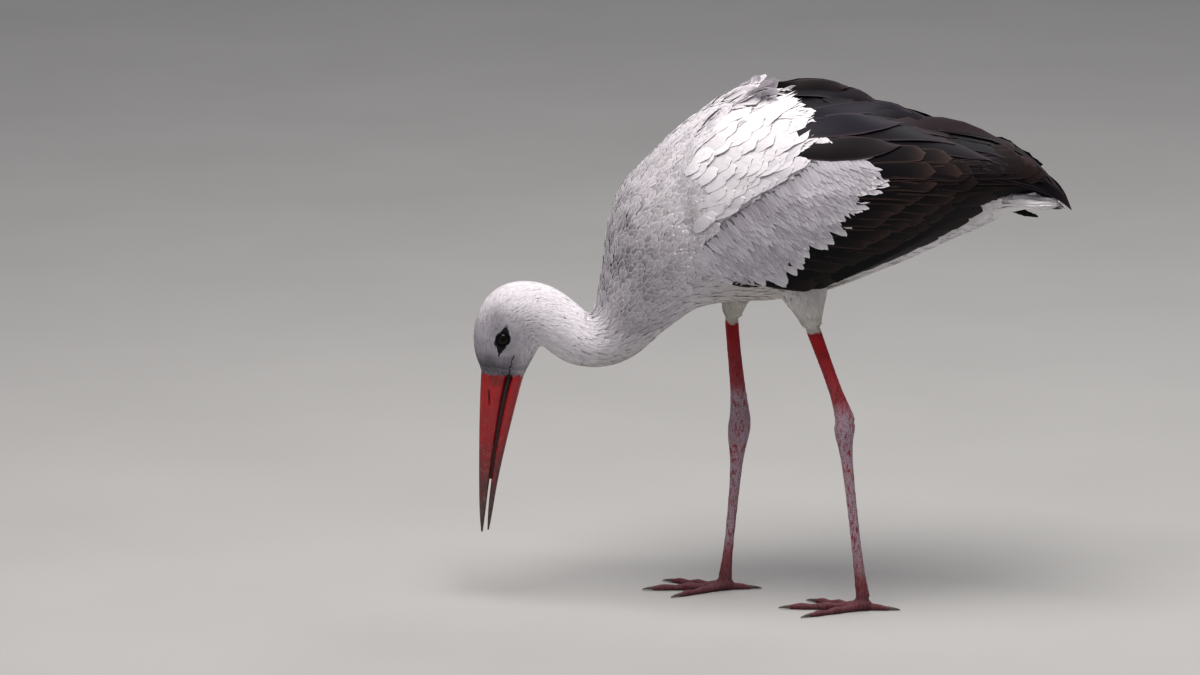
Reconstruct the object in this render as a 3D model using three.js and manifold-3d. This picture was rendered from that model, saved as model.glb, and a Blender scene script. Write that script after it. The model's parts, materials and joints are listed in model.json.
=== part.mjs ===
// A white stork, life size, standing with one foot forward and its head lowered to feed.
//
// The bird faces -X, +Z is up and the floor is the plane z = 0. The origin lies on the floor under the
// middle of the bird, and y = 0 is its plane of symmetry, apart from the stride. All sizes are in
// millimetres. Head, neck and trunk are one loft that is parted at four sections, each wing is a domed
// shell that lies on the trunk, and the legs, toes and bill are tapered lofts of their own.

import * as THREE from 'three';
import { LoftGeometry } from 'three/addons/geometries/LoftGeometry.js';
import { mergeVertices } from 'three/addons/utils/BufferGeometryUtils.js';
import Module from 'manifold-3d';

const wasm = await Module();
wasm.setup();

// ---------------------------------------------------------------- driving dimensions

const GAP = 0.3; // clearance between neighbouring pieces
const STRIDE_Y = 46; // each foot's distance from the plane of symmetry
const BODY_SIDES = 22; // facets round the head, neck and trunk
const LIMB_SIDES = 10;
const BILL_SIDES = 12;

// Ribs of the head, neck and trunk: dorsal x and z, ventral x and z, half width, and how much wider the
// dorsal half is than the ventral one. They fan round the throat and round the bend of the neck.
const HEAD_RIBS = [
  [-322, 262, -274, 257, 12, -0.1], // feather line at the bill
  [-328, 277, -268, 268, 17, -0.05], // lores
  [-330.5, 297, -262, 279, 21, 0], // eyes
  [-328, 318, -258.5, 286, 23.5, 0], // brow
  [-318, 340, -256.5, 289, 25.5, 0.05], // crown
  [-301, 355, -254.5, 289, 26.5, 0.05],
  [-279, 361, -251.5, 286.5, 26.5, 0], // nape
];
const UPPER_NECK_RIBS = [
  [-257, 359, -246, 281.5, 27, 0],
  [-238, 351.5, -237, 275, 27, 0],
  [-222, 340, -227, 269.5, 27.5, 0],
];
const LOWER_NECK_RIBS = [
  [-209, 328.5, -212, 265.5, 28, 0],
  [-202.5, 323.5, -192, 264.5, 29, 0], // bend of the neck
  [-200, 327, -170, 269, 31, 0],
  [-197.5, 334, -149, 280, 34.5, 0],
];
const TRUNK_RIBS = [
  [-195, 345, -130, 297, 39, 0], // root of the neck
  [-191.5, 364, -105, 318, 46, 0],
  [-188, 388, -78, 334, 55, 0],
  [-183.5, 425, -45, 340, 66, 0.04], // breast
  [-172, 463, -15, 340, 75, 0.06],
  [-141, 499, 20, 343, 82, 0.08],
  [-100, 538, 52, 349, 86, 0.08], // shoulders
  [-58, 561, 84, 360, 87, 0.06],
  [0, 560, 115, 373, 82, 0.04],
  [58, 548, 145, 385, 71, 0],
  [112, 530, 175, 399, 58, 0], // rump
  [162, 508, 203, 412, 45, 0],
];
const TAIL_RIBS = [
  [203, 492, 226, 421, 35, 0.1],
  [236, 478, 247, 433, 33, 0.2], // tail coverts
  [262, 468, 268, 442, 35, 0.2],
  [290, 458, 292, 444.5, 37.5, 0],
  [313, 452, 313, 446, 39, 0],
];
const TAIL_END = { x: 313, radius: 48 }; // the fan's rounded end, seen from above

// Left wing, closed over the back: top x and z, bottom x and z, half width, distance of the top edge
// from the middle of the back, and thickness.
const WING_RIBS = [
  [-112, 478, -104, 438, 60, 40, 20], // shoulder, inside the breast
  [-92, 530, -90, 398, 86, 44, 30],
  [-52, 566, -56, 376, 98, 26, 36],
  [0, 575.5, 0, 366, 103, 9, 36],
  [50, 578, 52, 366.5, 103, 1.5, 34],
  [93, 565, 98, 386, 97, 1.2, 30],
  [143, 546, 150, 411, 85, 1.2, 24],
  [196, 526, 200, 441, 68, 1.2, 16],
  [247, 517, 247, 459, 51, 1.5, 10],
  [286, 492, 287, 462, 36, 4, 7],
  [326, 440, 328, 436, 24, 12, 3],
];
const WING_WIDEST = 0.5; // share of the way down at which the wing is widest
const WING_TUCK = 0.3; // how far its lower edge draws in again
const WING_EDGE = 2.2; // thickness of the lower edge
// Tips of the longest tertials and primaries along the hind edge, from the back to the point of the wing.
const WING_TIPS = [[258, 515], [277, 497], [299, 479], [327, 437]];
const TIP_NOTCH = 17; // how far in the gaps between the tips reach
// Where the white coverts end on the side of the wing, from the back to the lower edge, and where the
// secondaries end and the primaries begin.
const COVERT_EDGE = [
  [0, 600],
  [14, 566],
  [44, 548],
  [62, 512],
  [112, 497],
  [118, 478],
  [92, 446],
  [52, 412],
  [-4, 366],
  [-12, 340],
];
const PRIMARY_EDGE = [
  [262, 600],
  [258, 515],
  [250, 487],
  [232, 462],
  [214, 440],
  [205, 400],
];
// A pointed tuft of long scapular feathers stands up from each shoulder.
const SCAPULAR_TUFT = [
  [-62, 30, 552, 7, 17],
  [-42, 31, 563, 5.6, 14],
  [-24, 32, 574, 3, 7],
  [-13, 33, 580, 1, 2.4],
];
// The right wing hangs looser: its tertials bulge over the ridge and its primaries show under the tail.
const RIGHT_TERTIALS = [
  [138, 17, 534, 4, 11],
  [164, 20, 533, 7, 13],
  [190, 21, 527, 8, 13],
  [215, 21, 519.5, 7, 11],
  [242, 19, 512, 4, 8],
];
const RIGHT_PRIMARIES = [
  [214, 44, 460, 6, 2.2],
  [236, 44, 449, 9, 2.4],
  [258, 45, 437, 9, 2.2],
  [278, 45, 428, 7, 2],
  [294, 44, 424, 2, 1],
];

const EYE = { x: -297, y: 15.6, z: 300, radius: 9 };

const UPPER_BILL = [
  [-322, 261.5, -290.5, 258.3, 12],
  [-323.2, 240, -296, 240, 10.6],
  [-324.2, 205, -302.5, 205, 8.8],
  [-324.8, 165, -308.8, 165, 7],
  [-324.8, 125, -314.5, 125, 5.2],
  [-324.2, 98, -317.8, 98, 3.6],
  [-322.6, 78, -320.6, 78, 1.3],
];
const LOWER_BILL = [
  [-288, 258, -274.2, 256.6, 11.2],
  [-294.4, 234, -281, 232, 9.8],
  [-301, 200, -289.2, 199, 8],
  [-307.8, 162, -298.4, 161, 6.2],
  [-312.6, 125, -305.8, 125, 4.6],
  [-315, 100, -309.8, 100, 3.2],
  [-315.6, 80, -313.8, 80, 1.2],
];
const BILL_RIDGE = 0.3; // how much each mandible narrows towards its outer edge

// Legs: x, y, z, radius fore and aft, radius across. The left leg trails and the right one leads.
const LEGS = {
  left: {
    side: -1,
    thigh: [
      [20, 38, 400, 36, 20],
      [28, 40, 372, 33, 22],
      [34, 42, 352, 25, 20],
      [38, 43, 334, 15.5, 14.5],
      [41, 43, 319, 10, 10],
    ],
    shank: [
      [41, 43, 318.4, 8.4, 7.4],
      [49.5, 43.5, 295, 7.9, 6.9],
      [60.5, 44, 265, 7.3, 6.5],
      [69.5, 44.5, 240, 8, 7],
      [75.5, 45, 222, 10.4, 8.4],
      [78, 45, 212, 11.6, 9.3],
    ],
    tarsus: [
      [78, 45, 211.6, 11.6, 9.3],
      [77, 45, 202, 11.8, 9.6],
      [77.6, 45, 191, 9.6, 8],
      [79.4, 45, 175, 7.2, 6.2],
      [83.4, 45.5, 140, 6, 5.3],
      [88, 46, 100, 5.6, 5.1],
      [92.6, 46, 60, 5.8, 5.3],
      [96.8, 46, 28, 7, 6.4],
      [99, 46, 14.5, 8.2, 7.6],
    ],
    foot: [99, 46, 8],
  },
  right: {
    side: 1,
    thigh: [
      [-30, 36, 398, 34, 20],
      [-34, 38, 368, 30, 21],
      [-39, 41, 345, 22, 18],
      [-43, 43, 328, 14, 13.5],
      [-45, 43, 313, 9.6, 9.6],
    ],
    shank: [
      [-45.4, 43, 312.4, 8, 7.2],
      [-43.5, 43, 285, 7.8, 6.9],
      [-40.5, 43.5, 255, 8.2, 7],
      [-37.5, 44, 225, 9.2, 7.6],
      [-35.8, 44.5, 205, 11.2, 8.8],
      [-35.6, 45, 195, 12.4, 9.5],
    ],
    tarsus: [
      [-35.6, 45, 194.6, 12.4, 9.5],
      [-36.6, 45, 182, 13, 9.7],
      [-38, 45, 168, 10.8, 8.3],
      [-38.8, 45, 150, 7.8, 6.5],
      [-41.2, 45.5, 118, 6.2, 5.4],
      [-44.4, 46, 82, 5.6, 5.1],
      [-47.6, 46, 48, 5.5, 5.2],
      [-50, 46, 26, 6.8, 6.3],
      [-51, 46, 14.5, 8, 7.5],
    ],
    foot: [-51, 46, 8],
  },
};
// Toes: length without the claw, angle from straight ahead away from the other foot, radius at the root.
const TOES = [
  { name: 'hind', length: 30, angle: 176, radius: 5 },
  { name: 'inner', length: 62, angle: -33, radius: 5.4 },
  { name: 'middle', length: 82, angle: -3, radius: 5.8 },
  { name: 'outer', length: 68, angle: 28, radius: 5.4 },
];
const TOE_TIP = 0.62; // a toe's radius at its tip, as a share of that at its root
const PAD_SWELL = 0.13; // how far the pads under the toe bones swell
const SOLE = 0.9; // how deep the floor cuts into the pads, which leaves flats under them
const WEB_REACH = 0.3; // the webs between the front toes reach this share of the shorter toe
const FOOT_PAD = [11, 9, 7.4]; // half length, half width and half height of the pad under the tarsus
const CLAW = { length: 11, radius: 3, taper: 0.78, droop: 1.6 };

// ---------------------------------------------------------------- materials

const finish = (color, roughness) => new THREE.MeshStandardMaterial({ color, roughness, metalness: 0 });
const WHITE_PLUMAGE = finish(0xdcd7d6, 0.9);
const BLACK_PLUMAGE = finish(0x1c181c, 0.65);
const RED_BILL = finish(0xb5201c, 0.45);
const LEG_SKIN = finish(0x9c4440, 0.6);
const DARK_EYE = finish(0x0c0a0a, 0.08);
const CLAW_HORN = finish(0x4a3c38, 0.5);

// ---------------------------------------------------------------- shape helpers

// Catmull-Rom interpolation of a table of number rows, at a place counted in rows.
function rowAt(rows, place) {
  const last = rows.length - 1;
  const i = Math.min(Math.floor(place), last - 1);
  const f = place - i;
  const [a, b, c, d] = [i - 1, i, i + 1, i + 2].map((k) => rows[Math.min(Math.max(k, 0), last)]);
  return b.map((_, k) =>
    0.5 * (2 * b[k] + (c[k] - a[k]) * f + (2 * a[k] - 5 * b[k] + 4 * c[k] - d[k]) * f * f +
      (3 * b[k] - a[k] - 3 * c[k] + d[k]) * f * f * f));
}

// The rows of a table from one place to another, with `steps` stretches between them.
const spread = (rows, steps, from = 0, to = rows.length - 1) =>
  Array.from({ length: steps + 1 }, (_, i) => rowAt(rows, from + ((to - from) * i) / steps));

// A closed manifold-3d solid of a three.js geometry, facing outwards.
function solidOf(geometry) {
  const bare = new THREE.BufferGeometry();
  bare.setAttribute('position', geometry.getAttribute('position'));
  bare.setIndex(geometry.index);
  const merged = mergeVertices(bare, 1e-4);
  const corners = Array.from(merged.index.array);
  const make = (triVerts) =>
    new wasm.Manifold(new wasm.Mesh({
      numProp: 3,
      vertProperties: merged.attributes.position.array,
      triVerts: new Uint32Array(triVerts),
    }));
  const solid = make(corners);
  return solid.volume() < 0 ? make(corners.reverse()) : solid;
}

// A solid through rings of points. The rings may run either way round, but all the same way.
function loftOf(rings) {
  const sumOf = (points) => points.reduce((sum, point) => sum.add(point), new THREE.Vector3());
  const [start, next] = rings.map((ring) => sumOf(ring).divideScalar(ring.length));
  const along = next.clone().sub(start);
  const turn = sumOf(rings[0].map((point, i, ring) => {
    const after = ring[(i + 1) % ring.length].clone().sub(start);
    return point.clone().sub(start).cross(after);
  }));
  const wound = turn.dot(along) > 0 ? rings : rings.map((ring) => [...ring].reverse());
  return solidOf(new LoftGeometry(wound, { capStart: true, capEnd: true }));
}

// A ring round the segment from a dorsal to a ventral point of the plane y = 0.
function ribRing([dorsalX, dorsalZ, ventralX, ventralZ, halfWidth, egg = 0], sides, grow = 0) {
  const middle = new THREE.Vector3((dorsalX + ventralX) / 2, 0, (dorsalZ + ventralZ) / 2);
  const up = new THREE.Vector3((dorsalX - ventralX) / 2, 0, (dorsalZ - ventralZ) / 2);
  up.setLength(up.length() + grow);
  return Array.from({ length: sides }, (_, i) => {
    const angle = ((i + 0.5) / sides) * Math.PI * 2;
    const width = (halfWidth + grow) * Math.cos(angle) * (1 + egg * Math.sin(angle));
    return middle.clone().addScaledVector(up, Math.sin(angle)).add(new THREE.Vector3(0, width, 0));
  });
}

const ribLoft = (rows, sides, grow = 0) => loftOf(rows.map((row) => ribRing(row, sides, grow)));

// A tapered tube through stations of x, y, z, fore-and-aft radius and radius across.
function limbLoft(stations, sides, grow = 0) {
  const last = stations.length - 1;
  const path = new THREE.CatmullRomCurve3(stations.map(([x, y, z]) => new THREE.Vector3(x, y, z)));
  const rings = stations.map(([x, y, z, foreAft, across], i) => {
    const along = path.getTangent(i / last);
    const side = new THREE.Vector3(0, 1, 0).addScaledVector(along, -along.y).normalize();
    const fore = new THREE.Vector3().crossVectors(side, along);
    const middle = new THREE.Vector3(x, y, z).addScaledVector(along, grow * ((i === last) - (i === 0)));
    return Array.from({ length: sides }, (_, k) => {
      const angle = (k / sides) * Math.PI * 2;
      return middle.clone()
        .addScaledVector(fore, Math.cos(angle) * (foreAft + grow))
        .addScaledVector(side, Math.sin(angle) * (across + grow));
    });
  });
  return loftOf(rings);
}

// A prism across the bird, from y = 0 out past the left wing, with the outline of x and z points.
function sidePrism(outline) {
  const shape = new THREE.Shape(outline.map(([x, z]) => new THREE.Vector2(x, z)));
  const prism = new THREE.ExtrudeGeometry(shape, { depth: 160, bevelEnabled: false, curveSegments: 4 });
  prism.rotateX(Math.PI / 2); // the outline's second axis becomes z, and the depth runs to -y
  return solidOf(prism);
}

const nodes = new THREE.Group();

function addNode(name, solid, material) {
  const { vertProperties, triVerts } = solid.getMesh();
  const geometry = new THREE.BufferGeometry();
  geometry.setAttribute('position', new THREE.BufferAttribute(vertProperties, 3));
  geometry.setIndex(new THREE.BufferAttribute(triVerts, 1));
  geometry.computeVertexNormals();
  const mesh = new THREE.Mesh(geometry, material);
  mesh.name = name;
  nodes.add(mesh);
}

const mirrored = (solid) => solid.mirror([0, 1, 0]);

// ---------------------------------------------------------------- head, neck, trunk and tail

const BODY_RIBS = [...HEAD_RIBS, ...UPPER_NECK_RIBS, ...LOWER_NECK_RIBS, ...TRUNK_RIBS, ...TAIL_RIBS];
const HEAD_END = HEAD_RIBS.length - 0.5;
const UPPER_NECK_END = HEAD_RIBS.length + UPPER_NECK_RIBS.length - 0.5;
const LOWER_NECK_END = UPPER_NECK_END + LOWER_NECK_RIBS.length;
const TRUNK_END = LOWER_NECK_END + TRUNK_RIBS.length;
const CUT = 0.03; // a parting cut's width, in ribs

function bodyPart(from, to, steps, grow = 0) {
  return ribLoft(spread(BODY_RIBS, steps, from, to), BODY_SIDES, grow);
}

const trunkPart = (grow) => bodyPart(LOWER_NECK_END + CUT, TRUNK_END - CUT, 20, grow);
const trunkGrown = trunkPart(GAP * 1.5);

function tailFan(grow = 0) {
  const fan = bodyPart(TRUNK_END, BODY_RIBS.length - 1, 9, grow);
  const { x, radius } = TAIL_END;
  const end = new THREE.CylinderGeometry(radius, radius, 100, 20).rotateX(Math.PI / 2);
  const stem = new THREE.BoxGeometry(200, 2 * radius, 100);
  end.translate(x - radius, 0, 460);
  stem.translate(x - radius - 100, 0, 460);
  return fan.intersect(solidOf(end).add(solidOf(stem)));
}

function eyeBall(grow = 0) {
  const ball = new THREE.SphereGeometry(EYE.radius + grow, 14, 8).rotateX(Math.PI / 2);
  return solidOf(ball.translate(EYE.x, -EYE.y, EYE.z));
}
const sockets = eyeBall(GAP).add(mirrored(eyeBall(GAP)));

addNode('head', bodyPart(0, HEAD_END - CUT, 11).subtract(sockets), WHITE_PLUMAGE);
addNode('neck_upper', bodyPart(HEAD_END, UPPER_NECK_END - CUT, 6), WHITE_PLUMAGE);
addNode('neck_lower', bodyPart(UPPER_NECK_END, LOWER_NECK_END - CUT, 8), WHITE_PLUMAGE);
addNode('trunk', trunkPart(0), WHITE_PLUMAGE);
addNode('tail', tailFan(), WHITE_PLUMAGE);
addNode('eye_left', eyeBall(), DARK_EYE);
addNode('eye_right', mirrored(eyeBall()), DARK_EYE);

// ---------------------------------------------------------------- bill

function mandible(ribs, outerSide, steps = 9) {
  const rows = spread(ribs, steps).map((row) => [...row, outerSide * BILL_RIDGE]);
  return ribLoft(rows, BILL_SIDES);
}

addNode('bill_upper', mandible(UPPER_BILL, -1), RED_BILL);
addNode('bill_lower', mandible(LOWER_BILL, 1), RED_BILL);

// ---------------------------------------------------------------- legs and feet

// A toe lies along its heading, with a pad under each of its bones.
function toeStations({ length, angle, radius }, [footX, footY], side) {
  const heading = THREE.MathUtils.degToRad(angle);
  const pads = length > 50 ? 3 : 1; // the hind toe is short
  const steps = pads * 2;
  return Array.from({ length: steps + 1 }, (_, i) => {
    const share = i / steps;
    const swell = 1 + PAD_SWELL * Math.cos(share * pads * Math.PI * 2 + Math.PI);
    const thick = radius * (1 + (TOE_TIP - 1) * share) * swell;
    const out = share * length;
    return [footX - Math.cos(heading) * out, side * (footY + Math.sin(heading) * out), thick - SOLE, thick];
  });
}

// A tube that lies flat, so its rings stand upright across its heading.
function toeLoft(stations, sides) {
  const [start, end] = [stations[0], stations[stations.length - 1]];
  const along = new THREE.Vector3(end[0] - start[0], end[1] - start[1], 0).normalize();
  const side = new THREE.Vector3(-along.y, along.x, 0);
  return loftOf(stations.map(([x, y, z, radius]) =>
    Array.from({ length: sides }, (_, k) => {
      const angle = ((k + 0.5) / sides) * Math.PI * 2;
      return new THREE.Vector3(x, y, z + radius * 0.92 * Math.sin(angle))
        .addScaledVector(side, radius * Math.cos(angle));
    })));
}

function clawStations({ angle }, tip, side) {
  const heading = THREE.MathUtils.degToRad(angle);
  return Array.from({ length: 5 }, (_, i) => {
    const share = i / 4;
    const out = GAP + share * CLAW.length;
    const thick = CLAW.radius * (1 - CLAW.taper * share);
    const drop = CLAW.droop * share * share;
    const z = Math.max(tip[2] + 0.6 - drop, thick + 0.1);
    return [tip[0] - Math.cos(heading) * out, tip[1] + side * Math.sin(heading) * out, z, thick];
  });
}

// The web between two front toes: a thin sheet on the floor whose free edge is a shallow curve.
function webSolid(first, second, [footX, footY], side) {
  const reach = WEB_REACH * Math.min(first.length, second.length);
  const at = (angle, out) => {
    const heading = THREE.MathUtils.degToRad(angle);
    return new THREE.Vector2(footX - Math.cos(heading) * out, side * (footY + Math.sin(heading) * out));
  };
  const shape = new THREE.Shape([at(0, 0), at(first.angle, reach)]);
  const dip = at((first.angle + second.angle) / 2, reach * 0.62);
  const far = at(second.angle, reach);
  shape.quadraticCurveTo(dip.x, dip.y, far.x, far.y);
  const sheet = new THREE.ExtrudeGeometry(shape, { depth: 2.4, bevelEnabled: false, curveSegments: 4 });
  return solidOf(sheet.translate(0, 0, 0.9));
}

const floor = solidOf(new THREE.BoxGeometry(600, 400, 40).translate(0, 0, -20));

// Each piece of a leg: the table it follows, its stretches, facets round it, and its material.
const LEG_PIECES = [
  ['thigh', 6, 14, WHITE_PLUMAGE],
  ['shank', 7, LIMB_SIDES, LEG_SKIN],
  ['tarsus', 10, LIMB_SIDES, LEG_SKIN],
];

function legPiece(leg, name, steps, sides, grow = 0) {
  const rows = spread(leg[name], steps).map(([x, y, ...rest]) => [x, leg.side * y, ...rest]);
  return limbLoft(rows, sides, grow);
}

for (const [which, leg] of Object.entries(LEGS)) {
  let above = trunkGrown;
  for (const [name, steps, sides, material] of LEG_PIECES) {
    addNode(`${name}_${which}`, legPiece(leg, name, steps, sides).subtract(above), material);
    above = legPiece(leg, name, steps, sides, GAP);
  }

  const [x, y, z] = leg.foot;
  const pad = new THREE.SphereGeometry(1, 10, 6).scale(...FOOT_PAD);
  let foot = solidOf(pad.translate(x - 1, leg.side * y, z - 1));
  const front = TOES.filter(({ name }) => name !== 'hind');
  for (const toe of TOES) {
    const stations = toeStations(toe, leg.foot, leg.side);
    foot = foot.add(toeLoft(stations, 7));
    const tip = stations[stations.length - 1];
    addNode(`claw_${which}_${toe.name}`, toeLoft(clawStations(toe, tip, leg.side), 5), CLAW_HORN);
  }
  front.slice(1).forEach((toe, i) => {
    foot = foot.add(webSolid(front[i], toe, leg.foot, leg.side));
  });
  addNode(`foot_${which}`, foot.subtract(floor).subtract(above), LEG_SKIN);
}

// ---------------------------------------------------------------- wings

// The closed section of the left wing at one rib: down the outside, and up again along the inside.
function wingRing([topX, topZ, bottomX, bottomZ, halfWidth, ridge, thick], steps = 7) {
  const outside = [];
  const inside = [];
  for (let i = 0; i <= steps; i += 1) {
    const share = (i / steps) ** 1.25; // the points crowd towards the back, where it bends most
    const rise = Math.min(1, share / WING_WIDEST);
    const past = Math.max(0, (share - WING_WIDEST) / (1 - WING_WIDEST));
    const dome = Math.sqrt(1 - (1 - rise) ** 2) - WING_TUCK * past * past;
    const x = topX + (bottomX - topX) * share;
    const y = ridge + (halfWidth - ridge) * dome;
    const z = topZ + (bottomZ - topZ) * share;
    const depth = THREE.MathUtils.lerp(thick, WING_EDGE, share ** 1.6);
    outside.push(new THREE.Vector3(x, -y, z));
    inside.unshift(new THREE.Vector3(x, -Math.max(ridge, y - depth), z - (depth / 2) * (1 - share)));
  }
  inside[steps].z = topZ - thick;
  return [...outside, ...inside];
}

// The outline of the wing from the side, which gives the hind edge its separate feather tips.
function wingOutline() {
  const outline = [[-140, 620], [150, 620], [236, 560]];
  WING_TIPS.forEach(([x, z], i) => {
    outline.push([x, z]);
    const next = WING_TIPS[i + 1];
    if (next) outline.push([(x + next[0]) / 2 - TIP_NOTCH * 0.5, (z + next[1]) / 2 + TIP_NOTCH * 0.1]);
  });
  outline.push([300, 455], [240, 440], [150, 330], [-140, 330]);
  return outline;
}

// A lock of feathers on the left side of the bird.
const lock = (stations) => limbLoft(stations.map(([x, y, ...rest]) => [x, -y, ...rest]), 8);
// Everything in front of an edge, with the edge moved back by `shift`.
const frontOf = (edge, shift = 0) =>
  sidePrism([...edge.map(([x, z]) => [x + shift, z]), [-200, 300], [-200, 640]]);
// Cutting can leave slivers, so only the largest body of a piece is kept.
const largest = (solid) => solid.decompose().reduce((a, b) => (b.volume() > a.volume() ? b : a));

const closedWing = loftOf(spread(WING_RIBS, 18).map((row) => wingRing(row)))
  .intersect(sidePrism(wingOutline()))
  .add(lock(SCAPULAR_TUFT));
const looseWing = closedWing.add(lock(RIGHT_TERTIALS)).add(lock(RIGHT_PRIMARIES));
const onLeft = (solid) => solid;

// Both wings are shaped on the left side, and the right one is mirrored at the end.
for (const [which, whole, place] of [['left', closedWing, onLeft], ['right', looseWing, mirrored]]) {
  const [name, steps, sides] = LEG_PIECES[0];
  const thighGrown = place(legPiece(LEGS[which], name, steps, sides, GAP));
  const clear = whole.subtract(trunkGrown).subtract(tailFan(GAP * 1.5)).subtract(thighGrown);
  const behindCoverts = clear.subtract(frontOf(COVERT_EDGE, GAP));
  for (const [piece, solid, material] of [
    ['coverts', clear.intersect(frontOf(COVERT_EDGE)), WHITE_PLUMAGE],
    ['secondaries', behindCoverts.intersect(frontOf(PRIMARY_EDGE)), BLACK_PLUMAGE],
    ['primaries', behindCoverts.subtract(frontOf(PRIMARY_EDGE, GAP)), BLACK_PLUMAGE],
  ]) {
    addNode(`wing_${which}_${piece}`, place(largest(solid)), material);
  }
}

export default nodes;
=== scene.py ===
"""A white stork, life size, in mid stride with its head lowered to feed.

One skin covers the head, neck, trunk and legs. The plumage lies over it as thin closed vanes: silky tufts on
the face and neck, rounded contour feathers on the body, and rows of coverts and quills on the wings and tail.
The bird faces -X, +Z is up and the floor is z = 0.
"""
from __future__ import annotations

import sys
import json
import logging
import math
from contextlib import contextmanager
from dataclasses import dataclass, field, replace
from enum import Enum
from typing import Callable, Iterator, Sequence

import bmesh
import bpy
import numpy as np
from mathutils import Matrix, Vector
from mathutils.bvhtree import BVHTree

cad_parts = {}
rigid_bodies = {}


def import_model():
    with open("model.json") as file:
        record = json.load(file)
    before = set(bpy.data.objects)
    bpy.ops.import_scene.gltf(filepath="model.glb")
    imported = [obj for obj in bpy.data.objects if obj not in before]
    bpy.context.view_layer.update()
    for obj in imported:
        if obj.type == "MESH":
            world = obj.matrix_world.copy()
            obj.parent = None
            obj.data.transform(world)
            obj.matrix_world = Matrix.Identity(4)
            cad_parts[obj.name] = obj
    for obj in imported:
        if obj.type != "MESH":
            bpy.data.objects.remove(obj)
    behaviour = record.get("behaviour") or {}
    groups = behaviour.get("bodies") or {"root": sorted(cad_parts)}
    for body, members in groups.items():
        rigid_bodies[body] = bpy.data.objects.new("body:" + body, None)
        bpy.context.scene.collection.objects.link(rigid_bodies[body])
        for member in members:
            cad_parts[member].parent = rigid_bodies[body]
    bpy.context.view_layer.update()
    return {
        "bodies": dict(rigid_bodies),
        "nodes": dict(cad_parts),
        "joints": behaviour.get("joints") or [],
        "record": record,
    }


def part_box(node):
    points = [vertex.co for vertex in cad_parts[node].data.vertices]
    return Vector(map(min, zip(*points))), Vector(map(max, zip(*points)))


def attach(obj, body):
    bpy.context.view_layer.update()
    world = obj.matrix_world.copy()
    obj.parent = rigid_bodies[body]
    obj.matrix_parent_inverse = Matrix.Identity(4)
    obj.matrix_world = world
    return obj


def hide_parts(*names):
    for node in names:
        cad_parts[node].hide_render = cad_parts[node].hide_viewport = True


MM = 0.001
LOG = logging.getLogger("stork")
SIDES = {"left": -1, "right": 1}
EYE_MM = (-297.0, 15.6, 300.0)  # middle of the right eyeball; the left one is its mirror image
BALL_MM = 9.0  # radius of an eyeball
BREAST_X = -0.14  # in metres: head and neck lie in front of it, legs and belly behind it
CRUMB_SIZE = 400  # a loose bit with fewer vertices is a crumb
THICKEST = 0.05  # in metres: how far a wall is looked for behind the surface
FAR_OUT = 0.3  # in metres: outside the bird on either side
FORM_VOXEL_MM = 2.4  # fineness of the outer form
SMALL_PATCH = (0.003, 0.003)  # room of one small feather on the bake's map
Array = np.ndarray
Pair = tuple[float, float]
Triple = tuple[float, float, float]


# ------------------------------------------------------------------ small helpers

def linear(code: str) -> tuple[float, float, float, float]:
    """Turn an sRGB hex colour to linear light.

    Args:
        code: Six hex digits with a leading hash.

    Returns:
        Red, green, blue and an alpha of 1.
    """
    parts = [int(code[i:i + 2], 16) / 255 for i in (1, 3, 5)]
    red, green, blue = (p / 12.92 if p <= 0.04045 else ((p + 0.055) / 1.055) ** 2.4 for p in parts)
    return red, green, blue, 1.0


def tint(code: str) -> Array:
    """Return a hex colour as a linear array of three."""
    return np.array(linear(code)[:3])


def plain(code: str, count: int) -> Array:
    """Return rows of one hex colour in linear light."""
    return np.ones((count, 1)) * tint(code)


def mix(first: Array, second: Array, share: Array) -> Array:
    """Blend two rows of colours by a share for each row."""
    share = np.clip(share, 0, 1)[:, None]
    return first * (1 - share) + second * share


def glaze(tone: Array, layers: Sequence[tuple[str, Array]]) -> Array:
    """Lay thin colours over a tone, one after another.

    Args:
        tone: One linear colour a row.
        layers: Each colour, and its share in every row.

    Returns:
        The glazed tone.
    """
    for code, share in layers:
        tone = mix(tone, tint(code), share)
    return tone


def ease(low: float, high: float, value: Array) -> Array:
    """Rise smoothly from 0 at `low` to 1 at `high`."""
    share = np.clip((np.asarray(value, dtype=float) - low) / (high - low), 0, 1)
    return share * share * (3 - 2 * share)


def unit(vectors: Array) -> Array:
    """Scale vectors along the last axis to a length of 1."""
    return vectors / np.maximum(np.linalg.norm(vectors, axis=-1, keepdims=True), 1e-12)


def dot(first: Array, second: Array) -> Array:
    """Multiply vectors along the last axis, and keep that axis."""
    return (first * second).sum(axis=-1, keepdims=True)


def add(tree: bpy.types.NodeTree, kind: str, settings: dict | None = None,
        links: dict | None = None) -> bpy.types.NodeOutputs:
    """Add one shader node with its settings and links.

    Args:
        tree: The material's node tree.
        kind: The node's class name without its first word, ShaderNode.
        settings: Values by attribute name or input socket; "stops" fills a colour ramp.
        links: Output sockets by the input they feed.

    Returns:
        The new node's output sockets.
    """
    made = tree.nodes.new("ShaderNode" + kind)
    for name, value in (settings or {}).items():
        if name == "stops":
            ramp = made.color_ramp.elements
            while len(ramp) < len(value):
                ramp.new(1.0)
            for stop, (place, code) in zip(ramp, value):
                stop.position = place
                stop.color = linear(code)
        elif isinstance(name, str) and hasattr(made, name):
            setattr(made, name, value)
        else:
            made.inputs[name].default_value = value
    for name, source in (links or {}).items():
        tree.links.new(source, made.inputs[name])
    return made.outputs


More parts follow.
